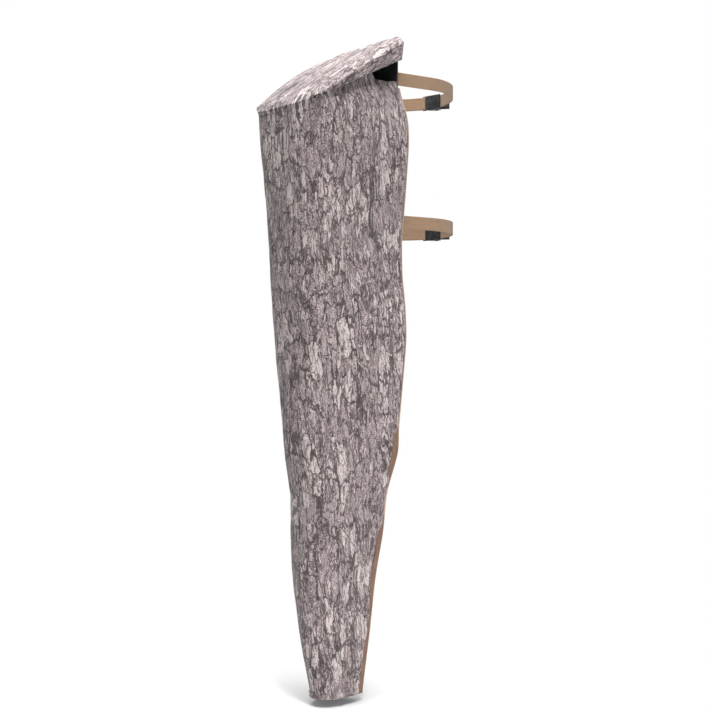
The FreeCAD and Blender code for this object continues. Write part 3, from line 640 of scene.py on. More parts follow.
# %% [markdown]
# The hood is one cloth with the wrap's front. It rolls back over the fold, rises to the tree, and turns
# down at both sides in skirts that get deeper towards the back. Each column of this mesh starts at the
# lower edge, climbs the skirt, rounds the shoulder and runs in to the middle. The columns that are
# joined to the wrap start exactly on its top edge.

# %% The hood's shape
HOOD_FRONT, HOOD_REAR = -331.5, -112.0
HOOD_LONG = HOOD_REAR - HOOD_FRONT
HOOD_HALF, BRIM_FLARE, EDGE_FLARE = 93.5, 17.5, 13.5
CORNER_POWER = 2 / 4.5


def crown(x, y):
    """The height of the hood's top over a place."""
    share = (y - HOOD_FRONT) / HOOD_LONG
    shapes = ((-77, 61, 34), (-69, 71, 24), (-67, 76.5, 20))
    left, centre, right = (mix(front, back, share) + rise * share * (1 - share)
                           for front, back, rise in shapes)
    t = x / (90.5 + 2.5 * share)
    height = centre + (right - left) / 2 * t + ((right + left) / 2 - centre) * t * t
    soft = 1.3 * ripple(11, x / 38 + 20, y / 95 + 20) + 0.6 * ripple(12, x / 15 + 20, y / 50 + 20)
    return height + soft * ease(0, 0.12, share)


turn = TURN[level]
forward = np.abs(np.sin(turn)) ** CORNER_POWER
flank = np.sign(np.cos(turn)) * np.abs(np.cos(turn)) ** CORNER_POWER
share = 1 - forward
brim = spots((HOOD_HALF + BRIM_FLARE * share) * flank, HOOD_REAR - HOOD_LONG * forward)
joined = 1 - ease(-29, -17, from_corner[level])
printed_on = 1 - ease(-4, 12, from_corner[level])
right = AROUND[level] > 0
drop = mix(7.0, 13.5, share)
shoulder = mix(13.0, 19.0, share)
brim_z = crown(brim[:, 0], brim[:, 1]) - drop

seam_points, seam_map = on_wall(np.full((1, COLUMNS), FOLD_Z))
free_edge = spots((HOOD_HALF + EDGE_FLARE * share) * flank, brim[:, 1])
free_edge[:, 0] += np.sign(flank) * 1.2 * ripple(13, brim[:, 1] / 26 + 20, np.where(right, 0, 5))
edge = mix(free_edge, seam_points[0, :, :2], joined[:, None])
free_z = -71 + np.where(right, 102, 81) * share
free_z += 1.5 * ripple(14, brim[:, 1] / 45 + 20, np.where(right, 0, 9))
edge_z = mix(free_z, FOLD_Z, joined)
print("the hood's lower edge runs from", edge_z.min().round(), "to", edge_z.max().round(), "mm")

# %% [markdown]
# The mesh joins the skirt's rows to the top's rows. The top's print runs on from the front panel over
# the fold, through a blend of the cloth's map across the fold. The flap is one sheet of cloth.

# %% The hood's mesh
SKIRT_ROWS, TOP_ROWS = 9, 44
MAP_START, MAP_STRETCH = -73, 1.19
climb = np.linspace(0, 1, SKIRT_ROWS)[:, None]
skirt_xy = mix(edge, brim, climb[..., None])
skirt = np.concatenate([skirt_xy, mix(edge_z, brim_z, climb)[..., None]], -1)

inward = (np.linspace(0, 1, TOP_ROWS)[1:, None]) ** 1.6
spine = spots(0.0, np.maximum(brim[:, 1], HOOD_FRONT + 75))
top_xy = mix(brim, spine, inward[..., None])
reach = np.linalg.norm(spine - brim, axis=1)
depth_in = reach * inward
sag = drop * np.maximum(0, 1 - depth_in / shoulder) ** 2
top = np.concatenate([top_xy, (crown(top_xy[..., 0], top_xy[..., 1]) - sag)[..., None]], -1)


def flat_map(xy):
    """The cloth's own coordinates over a place on the hood: its slope makes it longer."""
    return spots(xy[..., 0], MAP_START + MAP_STRETCH * (xy[..., 1] - HOOD_FRONT))


top_map, brim_map = flat_map(top_xy), flat_map(brim)
down = brim_z - skirt[..., 2]
skirt_map = spots(brim_map[:, 0] + np.sign(flank) * down, brim_map[:, 1])
front_map = spots(seam_map[..., 0], skirt[..., 2])
skirt_map = mix(skirt_map, front_map, printed_on[None, :, None])
carry = (skirt_map[-1] - brim_map)[None] * (1 - ease(0, 55, depth_in))[..., None]
hood_points = np.concatenate([skirt, top])[::-1]
hood_map = np.concatenate([skirt_map, top_map + carry])[::-1]
hood = mended(sheet("camo_hood", hood_points, hood_map))
hood.data.shade_smooth()
thicken(hood, COATED, bark, lining)
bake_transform(hood)
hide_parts("hood_top", "hood_right_skirt", "hood_left_skirt")

# %% [markdown]
# The back panel lies flat against the tree and stands up behind the mouth to carry the hood. It is a
# single sheet of plain cloth, so a grid is enough. Its wrinkles only go inwards, because the straps lie
# close on its outer side.

# %% The back panel
PANEL_COLUMNS, PANEL_ROWS = 81, 320
UPSTAND = 5.0 + CLOTH
CREST_HALF = 98
crest_x = np.linspace(-1, 1, PANEL_COLUMNS)
crest = crown(crest_x * CREST_HALF, BACK - CLOTH) - UPSTAND
crest = np.minimum(crest, np.interp(np.abs(crest_x), [0, 0.90, 1.0], [200, 200, 58]))
panel_z = mix(crest[None, :], SPOUT_Z, np.linspace(0, 1, PANEL_ROWS)[:, None])
panel_half = plan(panel_z)[0] + 1.2 * ease(-50, -80, panel_z)
panel_half = np.where(panel_z > -60, np.maximum(panel_half, 97.5), panel_half)
panel_x = crest_x * panel_half
calm = 1 - sum(bell(panel_z, z, 22) for z in STRAP_Z)
slack = 0.7 + 0.6 * ripple(21, panel_x / 45 + 20, panel_z / 70 + 20)
slack *= ease(-16, -60, panel_z) * np.clip(calm, 0, 1)
panel_points = spots(panel_x, back_line(panel_z) - 0.8 * slack, panel_z)
panel = sheet("back_panel_cloth", panel_points, spots(panel_x, panel_z))
thicken(panel, COATED, brown, lining)
fit(panel, "bag", "brown_cloth", "back_panel")
print("the back panel reaches up to", crest.max().round(1), "mm")

# %% [markdown]
# The lining hangs inside as a loose black sleeve, closed all round. It is the wall again, pulled in by
# its own clearance, with the tree side added as more columns.

# %% The lining sleeve
CLEARANCE, LINING = 3.4, 0.7
SLEEVE_TOP, SLEEVE_ROWS = -73, 240
inner_z = np.linspace(SLEEVE_TOP, SPOUT_Z + 1, SLEEVE_ROWS)[:, None]
sleeve, sleeve_map = on_wall(inner_z, slice(4, COLUMNS - 4, 2), CLEARANCE)
across_back = np.linspace(0, 1, 42)[1:-1]
rear = mix(sleeve[:, -1:, :], sleeve[:, :1, :], across_back[None, :, None])
rear[..., 1] -= 0.8 * ripple(31, rear[..., 0] / 30 + 20, inner_z / 60 + 20) ** 2
rear_map = sleeve_map[:, -1:] + spots(-across_back * 180, 0.0)[None]
tube_points = np.concatenate([sleeve, rear, sleeve[:, :1]], 1)
tube_map = np.concatenate([sleeve_map, rear_map, sleeve_map[:, :1]], 1)
liner = mended(sheet("lining_sleeve", tube_points, tube_map))
thicken(liner, LINING, lining)
fit(liner, "bag", "black_lining", "liner")
print("the lining has", len(liner.data.polygons), "faces")

# %% [markdown]
# Where the wrap meets the back panel, both raw edges are covered by a folded ribbed tape. It puckers a
# little with the seam, and its fold is rubbed pale. Ribs across it and worn patches of noise give the
# look. The ribs' crests are raised in the bump and also painted lighter, a painted highlight, while the
# worn patches are the tape's own wear. The map tells the finish where the fold is.

# %% The binding tape's finish
TAPE_RIB = 1.1


def ribbed_tape(name, deep, light):
    f = Finish(name)
    u, v = f.cloth()
    rib = v.ribs(TAPE_RIB)
    wear = f.noise(u / 12, v / 40, 2.0, 4.0, 0.6)
    # painted highlight: the ribs' crests are painted lighter; the worn patches are the tape's own wear
    colour = f.blend(ink(deep), ink(light), rib * 0.5 + f.step(wear, 0.4, 0.7) * 0.5)
    colour = f.blend(colour, ink("ab9784"), f.step(u, 2.4, 1.0) * 0.75)
    height = rib * 0.25 + 0.1 * wear
    return f.shade(colour, 0.8 + 0.1 * wear, height, 0.5, **{"Specular IOR Level": 0.3})


tape = ribbed_tape("brown_binding_tape", "574338", "7a6152")
print(tape.name, "has", len(tape.node_tree.nodes), "nodes")

# %% [markdown]
# Tape, webbing, hems and wire are all one outline carried along a line. `round_strip` draws the outline
# of a flat strip, and `swept` joins its rings and closes both ends. A Blender curve with a bevel does
# the same for a plain line, but can't widen, twist or carry the cloth's own coordinates as freely.

# %% Swept strips
def round_strip(width, thickness, corner, steps=5):
    """The outline of a strip seen on its end, with rounded corners."""
    w, t = width / 2 - corner, thickness / 2 - corner
    angles = [np.linspace(k, k + 1, steps) * math.pi / 2 for k in range(4)]
    centres = [(w, t), (-w, t), (-w, -t), (w, -t)]
    return np.concatenate([spots(cx + corner * np.cos(a), cy + corner * np.sin(a))
                           for a, (cx, cy) in zip(angles, centres)])


def swept(name, rings, ring_map, finish):
    """A closed tube of cloth through rings of points, with its two ends closed."""
    rings, ring_map = (np.concatenate([part, part[:, :1]], 1) for part in (rings, ring_map))
    piece = mended(sheet(name, rings, ring_map), WELD / 20, closed=True)
    piece.data.materials.append(finish)
    return piece


print("a strip's outline has", len(round_strip(10, 2, 0.5)), "points")

# %% [markdown]
# The tape lies flat behind the bag high up, and twists round to stand at the side lower down, where the
# bag narrows and pulls on it. `on_tape` finds any place on the tape, for the strip itself and for its
# stitches.

# %% The seam bindings
TAPE_WIDE, TAPE_THICK, BINDING_TOP = 13.0, 2.3, -21.0


def on_tape(z, sign, forward, outer):
    """Points of a seam's tape: forward from its fold, outer from its middle, a row for each z."""
    back, front, depth, _ = plan(z)
    side_on = seam_turn(z, sign)
    swing = (side_on * (math.pi / 2 + np.arctan2(back - front, depth) * 0.9))[:, None]
    wander = 0.5 * ripple(41 if sign > 0 else 42, z / 17 + 20) * (0.5 + bell(z, -760, 120))
    outer = outer + wander[:, None] * bell(forward, 11, 6)
    fold_x = (back + mix(3.2, 1.75, side_on))[:, None]
    fold_y = (back_line(z) + mix(1.6, 0.0, side_on))[:, None]
    x = fold_x - forward * np.cos(swing) + outer * np.sin(swing)
    y = fold_y - forward * np.sin(swing) + outer * np.cos(swing)
    return spots(sign * x, y, z[:, None])


def seam_binding(name, sign):
    z = np.linspace(BINDING_TOP, SPOUT_Z + 0.5, 300)
    ring = round_strip(TAPE_WIDE, TAPE_THICK, 0.9)
    forward = TAPE_WIDE / 2 + ring[None, :, 0]
    where = on_tape(z, sign, forward, ring[None, :, 1])
    return swept(name, where, spots(forward, z[:, None]), tape)


for name, sign in (("right_seam_binding", 1), ("left_seam_binding", -1)):
    fit(seam_binding(name + "_tape", sign), "bag", "binding_tape", name)
print("bindings run", round(BINDING_TOP - SPOUT_Z), "mm down each side")

# %% [markdown]
# The straps are tan polyester webbing, 25 mm wide. Their weave is fine ribs across the width, crossed by
# cords along it, a little dusty. The ribs' crests are raised in the bump and also painted lighter, a
# painted highlight; the fuzz and the dust are the webbing's own. The finish reads the distance along and
# across from the cloth's map.

# %% The webbing
WEBBING_RIB = 1.6


def webbing_finish():
    f = Finish("tan_webbing_weave")
    along, z = f.cloth()
    rib, cord = along.ribs(WEBBING_RIB), z.ribs(WEBBING_RIB)
    fuzz = f.noise(along / 0.9, z / 0.9, 2.0, 3.0, 0.6)
    dirt = f.noise(along / 40, z / 9, 5.0, 4.0, 0.6)
    # painted highlight: the ribs' crests are painted lighter; the fuzz is the yarn's own colour
    colour = f.blend(ink("725c48"), ink("9a7e65"), rib * 0.35 + fuzz * 0.65)
    colour = f.blend(colour, ink("5a4738"), f.step(dirt, 0.52, 0.78) * 0.35)
    return f.shade(colour, 0.78 + 0.12 * fuzz, rib * 0.35 + cord * 0.2 + fuzz * 0.2, 0.7, **{
        "Sheen Weight": 0.1, "Specular IOR Level": 0.3})


def dress(finish, *names):
    """Gives CAD pieces a finish."""
    for name in names:
        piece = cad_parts[name]
        piece.data.materials.clear()
        piece.data.materials.append(finish)


webbing = webbing_finish()
print(webbing.name, "has", len(webbing.node_tree.nodes), "nodes")

# %% [markdown]
# The cam buckles are stamped steel with black zinc plating, cloudy, and brighter where it is rubbed and
# scratched. Their springs are drawn wire. Noise in the object's own space suits both, because these
# pieces are the CAD's own and have no cloth map.

# %% The metal and the hoop
def plated():
    f = Finish("black_zinc_plating")
    x, y, z = f.place()
    cloud = f.noise(x / 9, y / 9, z / 9, 5.0, 0.6)
    scratch = f.noise(x / 6, y / 6, z / 0.5, 3.0, 0.6)
    rubbed = f.step(cloud, 0.45, 0.75) * 0.6 + f.step(scratch, 0.66, 0.74) * 0.4
    colour = f.blend(ink("3b3b3e"), ink("6a6968"), rubbed)
    return f.shade(colour, 0.34 + 0.22 * cloud, cloud * 0.2 + scratch * 0.05, 0.2, Metallic=1.0)


def spring_wire():
    f = Finish("spring_wire_steel")
    x, y, z = f.place()
    draw = f.noise(x / 0.4, y / 0.4, z / 2, 3.0)
    return f.shade(f.blend(ink("9b9a98"), ink("c9c8c5"), draw), 0.25 + 0.2 * draw, Metallic=1.0)


def hoop_finish():
    f = Finish("black_hoop_plastic")
    x, y, z = f.place()
    grainy = f.noise(x / 1.5, y / 1.5, z / 1.5, 4.0)
    colour = f.blend(ink("1c1c1d"), ink("2e2e30"), grainy)
    return f.shade(colour, 0.45 + 0.2 * grainy, grainy * 0.1, 0.3)


steel, spring_steel, hoop_plastic = plated(), spring_wire(), hoop_finish()
for strap in STRAPS:
    dress(steel, f"{strap}_buckle_frame", f"{strap}_cam_pin", f"{strap}_cam_lever")
dress(hoop_plastic, "spout_hoop")
print("metal finishes", steel.name, spring_steel.name)

# %% [markdown]
# The rim of the mouth is hemmed: its raw edge is turned in and lies behind the wrap. Round the spout a
# band of the printed cloth is folded over the edge. Both follow the creased wall, so each is a rounded
# strip whose outline is set out in depth and height from the wall, one outline for each column.

# %% The hems
def hem(name, columns, top, reach, depth, thickness, finish):
    """A rounded band along the wall, from top down by reach, its middle at a depth from the wall."""
    ring = round_strip(reach, thickness, thickness * 0.42)
    z = (top - reach / 2 + ring[:, 0][:, None]) + 0 * AROUND[level, columns][None, :]
    points, where = off_wall(z, columns, (depth + ring[:, 1])[:, None] + 0 * z)
    return swept(name, points.transpose(1, 0, 2), where.transpose(1, 0, 2), finish)


HEM_THICK, RIM_HEM, SPOUT_HEM = 1.1, 13.0, 11.4
gaping = (from_corner[level] > -24) & (from_seam[level] > 12)
open_rim = [np.flatnonzero(gaping & (side[0] == sign)) for sign in (1, -1)]
for name, columns in zip(("right_mouth_hem", "left_mouth_hem"), open_rim):
    piece = hem(name, columns, rim[columns][None, :] - 0.4, RIM_HEM, 2.4, HEM_THICK, bark)
    fit(piece, "bag", "camo_cloth", "mouth_hems")

low_row = on_wall(np.full((1, COLUMNS), SPOUT_Z + 6))[0][0]
spout_run = np.flatnonzero(low_row[:, 1] < BACK - LEAN - 13.5)
spout_hem = hem("spout_hem", spout_run, SPOUT_Z + SPOUT_HEM + 0.2, SPOUT_HEM, -0.85, HEM_THICK, bark)
fit(spout_hem, "bag", "camo_cloth", "spout_binding")
print("hems along", [len(c) for c in open_rim], "and", len(spout_run), "columns")

# %% [markdown]
# The hood closes behind the mouth with hook and loop tape. The hood's own tab hangs down inside the
# back panel with the hook tape sewn on, and the loop tape is sewn on the panel. Each is a flat strip
# with a pile: short hairs drawn as tiny upright tufts on a grid.

# %% The closure
def upright_strip(name, half_width, y, low, high, thickness, finish, tufts=0.0):
    """A flat upright strip that faces the mouth; high may change across it."""
    x = np.linspace(-half_width, half_width, 101)
    high = np.broadcast_to(high, x.shape)
    rows = mix(high[None, :], low, np.linspace(0, 1, 36)[:, None])
    pile = tufts * ripple(51, x[None, :] / 1.1 + 20, rows / 1.1 + 20) ** 2
    piece = sheet(name, spots(x[None, :], y + pile, rows), spots(x[None, :], rows))
    return thicken(piece, thickness, finish)


def pile_tape(name, deep, light):
    f = Finish(name)
    u, v = f.cloth()
    hair = f.noise(u / 0.6, v / 0.6, 1.0, 3.0, 0.8)
    colour = f.blend(ink(deep), ink(light), f.step(hair, 0.3, 0.7))
    return f.shade(colour, 0.75 + 0.2 * hair, hair, 0.8)


TAB_HALF, TAPE_HALF, TAPE_LOW, TAPE_TOP, PILE = 63.5, 59.5, 29, 51, 0.9
hook_pile = pile_tape("black_hook_pile", "18181a", "3a3a3d")
loop_pile = pile_tape("black_loop_pile", "141416", "2c2c30")
tab_top = crown(np.linspace(-TAB_HALF, TAB_HALF, 101), -118.5) - 2.2
tab = upright_strip("hood_tab_cloth", TAB_HALF, -118.0, TAPE_LOW - 1, tab_top, COATED, lining)
fit(tab, "hood", "black_lining", "hood_tab")
for kind, body, y, finish, tufts in (("hook", "hood", -116.7, hook_pile, 0.25),
                                     ("loop", "bag", -114.8, loop_pile, 0.2)):
    strip = upright_strip(f"{kind}_tape_strip", TAPE_HALF, y, TAPE_LOW, TAPE_TOP, PILE, finish, tufts)
    fit(strip, body, "hook_loop", f"{kind}_tape")
print("the tab hangs from", tab_top.max().round(1), "mm")

# %% [markdown]
# Real webbing has a round selvedge and fine ribs across it. The CAD strap takes the true way round the
# tree, through the keepers and the buckle, so its outline seen from above is read back, walked in even
# steps and drawn down through the width again. Every other step stands a little proud, which makes the
# ribs, and the outermost rows are drawn in, which rounds the selvedges.

# %% The straps' outline
def outlines(node):
    """The closed outlines of an upright CAD band, seen from above, with its lowest and highest z."""
    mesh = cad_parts[node].data
    places = np.array([v.co for v in mesh.vertices]) / MM
    high = places[:, 2].max()
    caps = [[tuple(places[v, :2].round(2)) for v in face.vertices] for face in mesh.polygons
            if face.normal.z > 0.9 and places[face.vertices[0], 2] > high - 0.01]
    steps = {(a, b) for ring in caps for a, b in zip(ring, ring[1:] + ring[:1])}
    follow = {a: b for a, b in steps if (b, a) not in steps}
    loops = []
    while follow:
        first, here = next(iter(follow.items()))
        loop = [first]
        while here != first and here in follow:
            loop.append(here)
            here = follow.pop(here)
        follow.pop(first, None)
        loops.append(np.array(loop))
    return loops, places[:, 2].min(), high


def even_loop(loop, pitch):
    """A closed outline walked in an even number of equal steps, and how far along each one is."""
    closed = np.append(loop, loop[:1], axis=0)
    run = run_along(closed)
    places = np.linspace(0, run[-1], 2 * int(run[-1] / pitch / 2), endpoint=False)
    return read_line(places, run, closed), places


print("the upper strap has", len(outlines("upper_strap")[0]), "outline seen from above")

# %% [markdown]
# Both straps are drawn from their outlines, a row of points for each depth in a list. The narrow top
# and bottom are closed with filled faces.

# %% The straps
STEP = 0.8
ROWS = np.array([0, 0.12, 0.4, 0.9, 2.2, 4.5, 8, 12.5, 17, 20.5, 22.8, 24.1, 24.6, 24.88, 25.0])
DRAWN_IN = np.array([0.42, 0.22, 0.08, 0, -0.04, 0, 0, 0, 0, 0, -0.04, 0, 0.08, 0.22, 0.42])


def webbing_strap(name, node, finish):
    shape = bmesh.new()
    layer = shape.loops.layers.uv.new("cloth")
    loops, low, high = outlines(node)
    for outline in loops:
        walk, run = even_loop(outline, STEP)
        ahead = np.roll(walk, -2, axis=0) - np.roll(walk, 2, axis=0)
        out = unit(spots(ahead[:, 1], -ahead[:, 0]))
        rib = 0.05 * (-1.0) ** np.arange(len(walk)) - 0.05
        rings = []
        for drop, inset in zip(ROWS, DRAWN_IN):
            xy = walk + out * (rib - inset)[:, None]
            rings.append([shape.verts.new((px * MM, py * MM, (high - drop) * MM)) for px, py in xy])
        for upper, lower, v, v_next in zip(rings, rings[1:], ROWS, ROWS[1:]):
            for j, u in enumerate(run):
                k = (j + 1) % len(walk)
                face = shape.faces.new((upper[j], lower[j], lower[k], upper[k]))
                ends = ((u, v), (u, v_next), (u + STEP, v_next), (u + STEP, v))
                for corner, place in zip(face.loops, ends):
                    corner[layer].uv = np.array(place) * MM
    middle_z = (low + high) / 2 * MM
    for top in (True, False):
        rim_edges = [e for e in shape.edges if e.is_boundary and (e.verts[0].co.z > middle_z) == top]
        bmesh.ops.triangle_fill(shape, use_beauty=True, edges=rim_edges)
    bmesh.ops.recalc_face_normals(shape, faces=shape.faces)
    mesh = bpy.data.meshes.new(name)
    shape.to_mesh(mesh)
    shape.free()
    mesh.materials.append(finish)
    return placed(name, mesh)


for strap in STRAPS:
    piece = webbing_strap(f"{strap}_webbing", f"{strap}_strap", webbing)
    fit(piece, "bag", "tan_webbing", f"{strap}_strap")
    print(piece.name, len(piece.data.polygons), "faces")

# %% [markdown]
# Each keeper is a short piece of the same webbing, sewn flat at both ends and lifted over the strap
# between them. A rounded strip follows that line, with the same ribs.

# %% The keepers
WEBBING_WIDE, KEEPER_THICK = 25.0, 1.16
KEEPER_HALF, KEEPER_LIFT, KEEPER_X = 31.2, 2.2, 70.0
SEWN_FROM, LIFTED_FROM = 17.6, 13.2


def keeper(name, x, strap_z):
    z = np.linspace(-KEEPER_HALF, KEEPER_HALF, 120)
    lift = KEEPER_LIFT * ease(SEWN_FROM, LIFTED_FROM, np.abs(z))
    slope = np.gradient(lift, z)
    ring = round_strip(WEBBING_WIDE, KEEPER_THICK, 0.5)
    rib = 0.04 * (-1.0) ** np.arange(len(z)) - 0.04
    tall = ring[None, :, 1] * (1 + rib[:, None])
    y = BACK + 0.6 + lift[:, None] + tall
    points = spots(x + ring[None, :, 0], y, strap_z + z[:, None] - slope[:, None] * tall * 0.6)
    return swept(name, points, spots(z[:, None], WEBBING_WIDE / 2 + ring[None, :, 0]), webbing)


keeper_places = [(strap, hand, x, z) for strap, z in zip(STRAPS, STRAP_Z)
                 for hand, x in (("right", KEEPER_X), ("left", -KEEPER_X))]
for strap, hand, x, z in keeper_places:
    fit(keeper(f"{strap}_{hand}_keeper", x, z), "bag", "tan_webbing", f"{strap}_keepers")
print("keepers at", [(x, round(z)) for _, _, x, z in keeper_places])

# %% [markdown]
# Thread holds all of this together, and stitches are what makes a sewn thing look sewn. Each stitch is
# a short arched thread that dips into the cloth at both ends. One helper lays a row of them along any
# line, given the line's points and the way out of the cloth there.

# %% Stitches
def thread_finish():
    f = Finish("mauve_thread")
    x, y, z = f.place()
    twist = f.noise(x / 0.3, y / 0.3, z / 0.3, 2.0)
    colour = f.blend(ink("4b4241"), ink("8a7c79"), f.step(twist, 0.3, 0.7))
    return f.shade(colour, 0.7 + 0.1 * twist)


thread = thread_finish()


def stitch_row(line, out, pitch=4.2, long=3.1, thick=0.30, lift=0.28):
    """Rings of points, one row for each stitch: five rings of six points."""
    run = run_along(line)
    starts = np.arange(0.5, run[-1] - long, pitch)
    at = starts[:, None] + long * np.array([0.0, 0.18, 0.5, 0.82, 1.0])
    centre, away = read_line(at, run, line), unit(read_line(at, run, out))
    aside = np.cross(unit(np.gradient(centre, axis=1)), away)
    centre = centre + away * (lift * np.array([-0.9, 0.7, 1.0, 0.7, -0.9]))[None, :, None]
    girth = thick * np.array([0.5, 0.95, 1.0, 0.95, 0.5])
    turn = np.arange(6) * math.pi / 3
    ring = np.cos(turn)[:, None] * aside[:, :, None] + np.sin(turn)[:, None] * away[:, :, None]
    return centre[:, :, None] + ring * girth[None, :, None, None]


def stitches(name, body, rows):
    """One mesh of thread from several rows of stitches."""
    rings = np.concatenate(rows)
    number = np.arange(rings.size // 3).reshape(rings.shape[:3])
    ahead = np.roll(number, -1, axis=2)
    quads = np.stack([number[:, :-1], number[:, 1:], ahead[:, 1:], ahead[:, :-1]], -1).reshape(-1, 4)
    ends = np.concatenate([number[:, 0], number[:, -1, ::-1]])
    mesh = bpy.data.meshes.new(name)
    mesh.from_pydata((rings * MM).reshape(-1, 3).tolist(), [], quads.tolist() + ends.tolist())
    mesh.materials.append(thread)
    return fit(placed(name, mesh), body, "thread")


print("a stitch is", stitch_row(np.eye(3) * 9, np.ones((3, 3))).shape[1:3], "points")

# %% [markdown]
# The rows lie where a sewing machine would run them: near the free edge of each binding, above the
# hood's edge, below the rim of the mouth, along the spout's hem and round the closure's tapes.

# %% The seams' stitches
def wall_row(columns, z, depth=-0.15):
    """A line on the wall's outer side and the way out of it."""
    z = np.broadcast_to(z, columns.shape)[None, :]
    line, _ = off_wall(z, columns, depth + 0 * z)
    far, _ = off_wall(z, columns, depth - 1 + 0 * z)
    return line[0], far[0] - line[0]


seam_z = np.linspace(-30, SPOUT_Z + 8, 700)
from_fold = np.array([[10.0]])
rows = []
for sign in (1, -1):
    for face in (1.12, -1.12):
        line, far = (on_tape(seam_z, sign, from_fold, face * n + 0 * from_fold)[:, 0] for n in (1, 2))
        rows.append(stitch_row(line, far - line))
rows += [stitch_row(*wall_row(columns, rim[columns] - 9.0)) for columns in open_rim]
rows += [stitch_row(*wall_row(spout_run, SPOUT_Z + up, -1.45)) for up in (9.5, 2.5)]


def back_row(x, z, above=0.1, **size):
    """A row on the tree side of the back panel, or above it on a keeper."""
    line = spots(x, BACK + above, z)
    return stitch_row(line, np.array([0.0, 1.0, 0.0]) + 0 * line, **size)


crest_run = np.linspace(-94, 94, 120)
rows.append(back_row(crest_run, np.interp(crest_run, crest_x * CREST_HALF, crest) - 7))
box = [(-57, 31), (57, 31), (57, 49), (-57, 49), (-57, 31)]
box_line = np.concatenate([np.linspace(a, b, 30) for a, b in zip(box, box[1:])])
rows.append(back_row(*box_line.T))
stitches("bag_stitches", "bag", rows)
print("rows of stitches on the bag", len(rows), "with", sum(len(r) for r in rows), "stitches")

# %% [markdown]
# The hood's row is set out on its own skirts, where they hang free. Near the front it stops, because
# the hood and the wrap are one cloth there and nothing is sewn.

# %% The hood's stitches
rows = []
for sign in (1, -1):
    columns = np.flatnonzero((from_corner[level] > 12) & (side[0] == sign))
    up = (6.0 / np.maximum(brim_z - edge_z, 6.5))[columns][:, None]
    line = mix(*(np.column_stack(pair)[columns] for pair in ((edge, edge_z), (brim, brim_z))), up)
    out = np.array([sign, 0.0, 0.0]) + 0 * line
    rows.append(stitch_row(line + out * 0.15, out))
stitches("hood_stitches", "hood", rows)
print("stitches on the hood", sum(len(r) for r in rows))

# %% [markdown]
# A bartack is a tight zigzag that locks the end of a keeper. Two lie on each keeper. A raised pattern in
# the bump would be quicker, but real thread casts its own small shadow and holds up in a close view.

# %% The bartacks
TACK_HALF, TACK_POINTS, TACK_FROM_STRAP = 9.6, 45, 24.2
zigzag = 0.75 * (-1.0) ** np.arange(TACK_POINTS)
rows = []
for _, _, x, z in keeper_places:
    for end in (-TACK_FROM_STRAP, TACK_FROM_STRAP):
        run_x = x + np.linspace(-TACK_HALF, TACK_HALF, TACK_POINTS)
        rows.append(back_row(run_x, z + end + zigzag, 1.3, pitch=1.7, long=1.75, thick=0.24, lift=0.16))
fit(stitches("bartack_threads", "bag", rows), "bag", "thread", "keeper_bartacks")
print("bartacks", len(rows))

# %% [markdown]
# Each cam lever is pushed shut by a torsion spring round its pin: five turns of wire, and a leg that
# runs down into the buckle's frame. A Blender curve with a round bevel could draw it too. The sweep that
# made the bindings is used again, and the CAD spring's box says how far up and down it goes.

# %% The cam springs
PIN_X, PIN_Y = 6.0, 120.5
COIL, COIL_TURNS, WIRE_HALF = 3.4, 5, 0.46


def cam_spring(name, node):
    (_, _, z_low), (_, _, z_high) = (np.array(corner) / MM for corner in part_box(node))
    turns = np.linspace(0, 1, 241)
    angle = math.pi + turns * COIL_TURNS * math.tau
    rise = mix(z_high - 5.45, z_high - 0.6, turns)
    helix = spots(PIN_X + COIL * np.cos(angle), PIN_Y + COIL * np.sin(angle), rise)
    leg = spots(PIN_X - COIL, PIN_Y, np.linspace(z_low + 0.4, helix[0, 2] - 0.3, 12))
    line = np.concatenate([leg, helix])
    along = unit(np.gradient(line, axis=0))
    outward = (line - (PIN_X, PIN_Y, 0)) * (1, 1, 0)
    aside = unit(outward - (outward * along).sum(1, keepdims=True) * along)
    turn = (np.arange(10) * math.tau / 10)[None, :, None]
    ring = np.cos(turn) * aside[:, None] + np.sin(turn) * np.cross(along, aside)[:, None]
    ring_map = spots(turn[..., 0], line[:, 2:])
    return swept(name, line[:, None] + WIRE_HALF * ring, ring_map, spring_steel)


for strap in STRAPS:
    node = f"{strap}_cam_spring"
    fit(cam_spring(node + "_wire", node), "bag", "spring_steel", node)

# %% [markdown]
# A pale floor stands just under the spout. Near the feeder it is plain and takes the shadow; farther
# off it fades to white, like the backdrop. The sky is even all round, and white where it is seen.

# %% The floor and the sky
FLOOR_Z, FLOOR_RADIUS = -1.175, 14
FADE_Y, FADE_FROM, FADE_TO = -220, 140, 620


def stage_floor():
    f = Finish("studio_floor")
    x, y, z = f.place()
    square = x * x + (y - FADE_Y) * (y - FADE_Y)
    far = square.math("SQRT", square)
    pale = {"Base Color": (0.93, 0.93, 0.93, 1), "Roughness": 0.9}
    paper = f.node("ShaderNodeBsdfPrincipled", {}, pale)
    white = f.node("ShaderNodeEmission", {}, {"Color": (1, 1, 1, 1), "Strength": 1.0})
    share = f.step(far, FADE_FROM, FADE_TO) * f.seen_rays()
    return f.finished(f.node("ShaderNodeMixShader", {}, {0: share, 1: paper, 2: white}))


bpy.ops.mesh.primitive_circle_add(
    vertices=96, radius=FLOOR_RADIUS, fill_type="NGON", location=(0, 0, FLOOR_Z))
floor = bpy.context.object
floor.name = "studio_floor"
floor.data.materials.append(stage_floor())


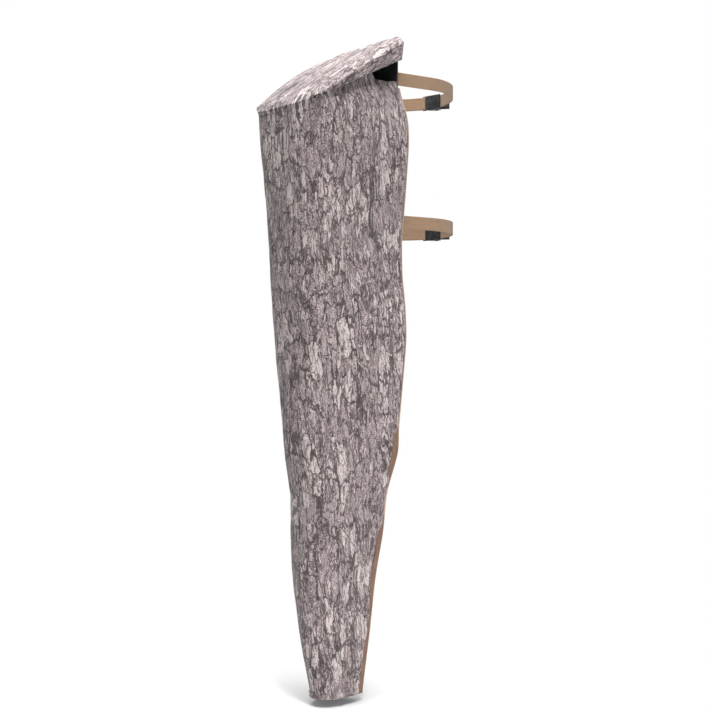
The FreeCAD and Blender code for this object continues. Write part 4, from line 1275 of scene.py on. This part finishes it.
def plain_sky(lit, seen):
    """An even sky: its strength as light, and its strength where it is seen."""
    f = Finish("plain_sky", "worlds")
    light, backdrop = (f.node("ShaderNodeBackground", {}, {"Color": (1, 1, 1, 1), "Strength": n})
                       for n in (lit, seen))
    shader = f.node("ShaderNodeMixShader", {}, {0: f.seen_rays(), 1: light, 2: backdrop})
    return f.finished(shader, "ShaderNodeOutputWorld")


bpy.context.scene.world = plain_sky(lit=0.34, seen=1.0)
print("the floor and", bpy.context.scene.world.name, "are ready")

# %% [markdown]
# A lamp here is a square soft box. One stands low on the right, with a grid in front that narrows its
# beam, so the side is lightest low down. One hangs over the hood and makes its slope the brightest
# cloth. The key lamp stands high on the right and throws the hood's shadow on the wall below it.

# %% The lamps
def lamp(name, place, aim, size, watts, spread=180):
    light = bpy.data.lights.new(name, "AREA")
    light.size, light.energy, light.spread = size, watts, math.radians(spread)
    holder = bpy.data.objects.new(name, light)
    bpy.context.scene.collection.objects.link(holder)
    holder.location = place
    holder.rotation_euler = (Vector(aim) - Vector(place)).to_track_quat("-Z", "Y").to_euler()


lamp("soft_box_right", place=(1.9, -0.7, -0.8), aim=(0, -0.2, -0.98), size=0.7, watts=6.5, spread=90)
lamp("soft_box_over", place=(0.0, -0.42, 1.8), aim=(0, -0.25, 0), size=1.0, watts=88)
lamp("soft_box_key", place=(1.3, -1.0, 2.1), aim=(0, -0.2, -0.3), size=0.6, watts=55)

# %% [markdown]
# The camera stands level at half the bag's height, 2.46 m from the tree's axis and 40 degrees round to
# the right, and turns slightly so that the bag sits left of the middle.

# %% The camera
AZIMUTH, DISTANCE, EYE_Z = math.radians(40), 2.460, -0.5235
ASIDE = math.atan(1 / 30)
lens = bpy.data.cameras.new("camera")
lens.lens, lens.sensor_width = 62.2, 36.0
camera = bpy.data.objects.new("camera", lens)
bpy.context.scene.collection.objects.link(camera)
camera.location = (DISTANCE * math.sin(AZIMUTH), -DISTANCE * math.cos(AZIMUTH), EYE_Z)
camera.rotation_euler = (math.pi / 2, 0, AZIMUTH + ASIDE)
bpy.context.scene.camera = camera
bpy.context.scene.view_settings.view_transform = "Standard"
print("camera at", [round(v, 3) for v in camera.location])

# %% [markdown]
# The cloth must stay inside the CAD model's box but for the little that fabric stands proud.
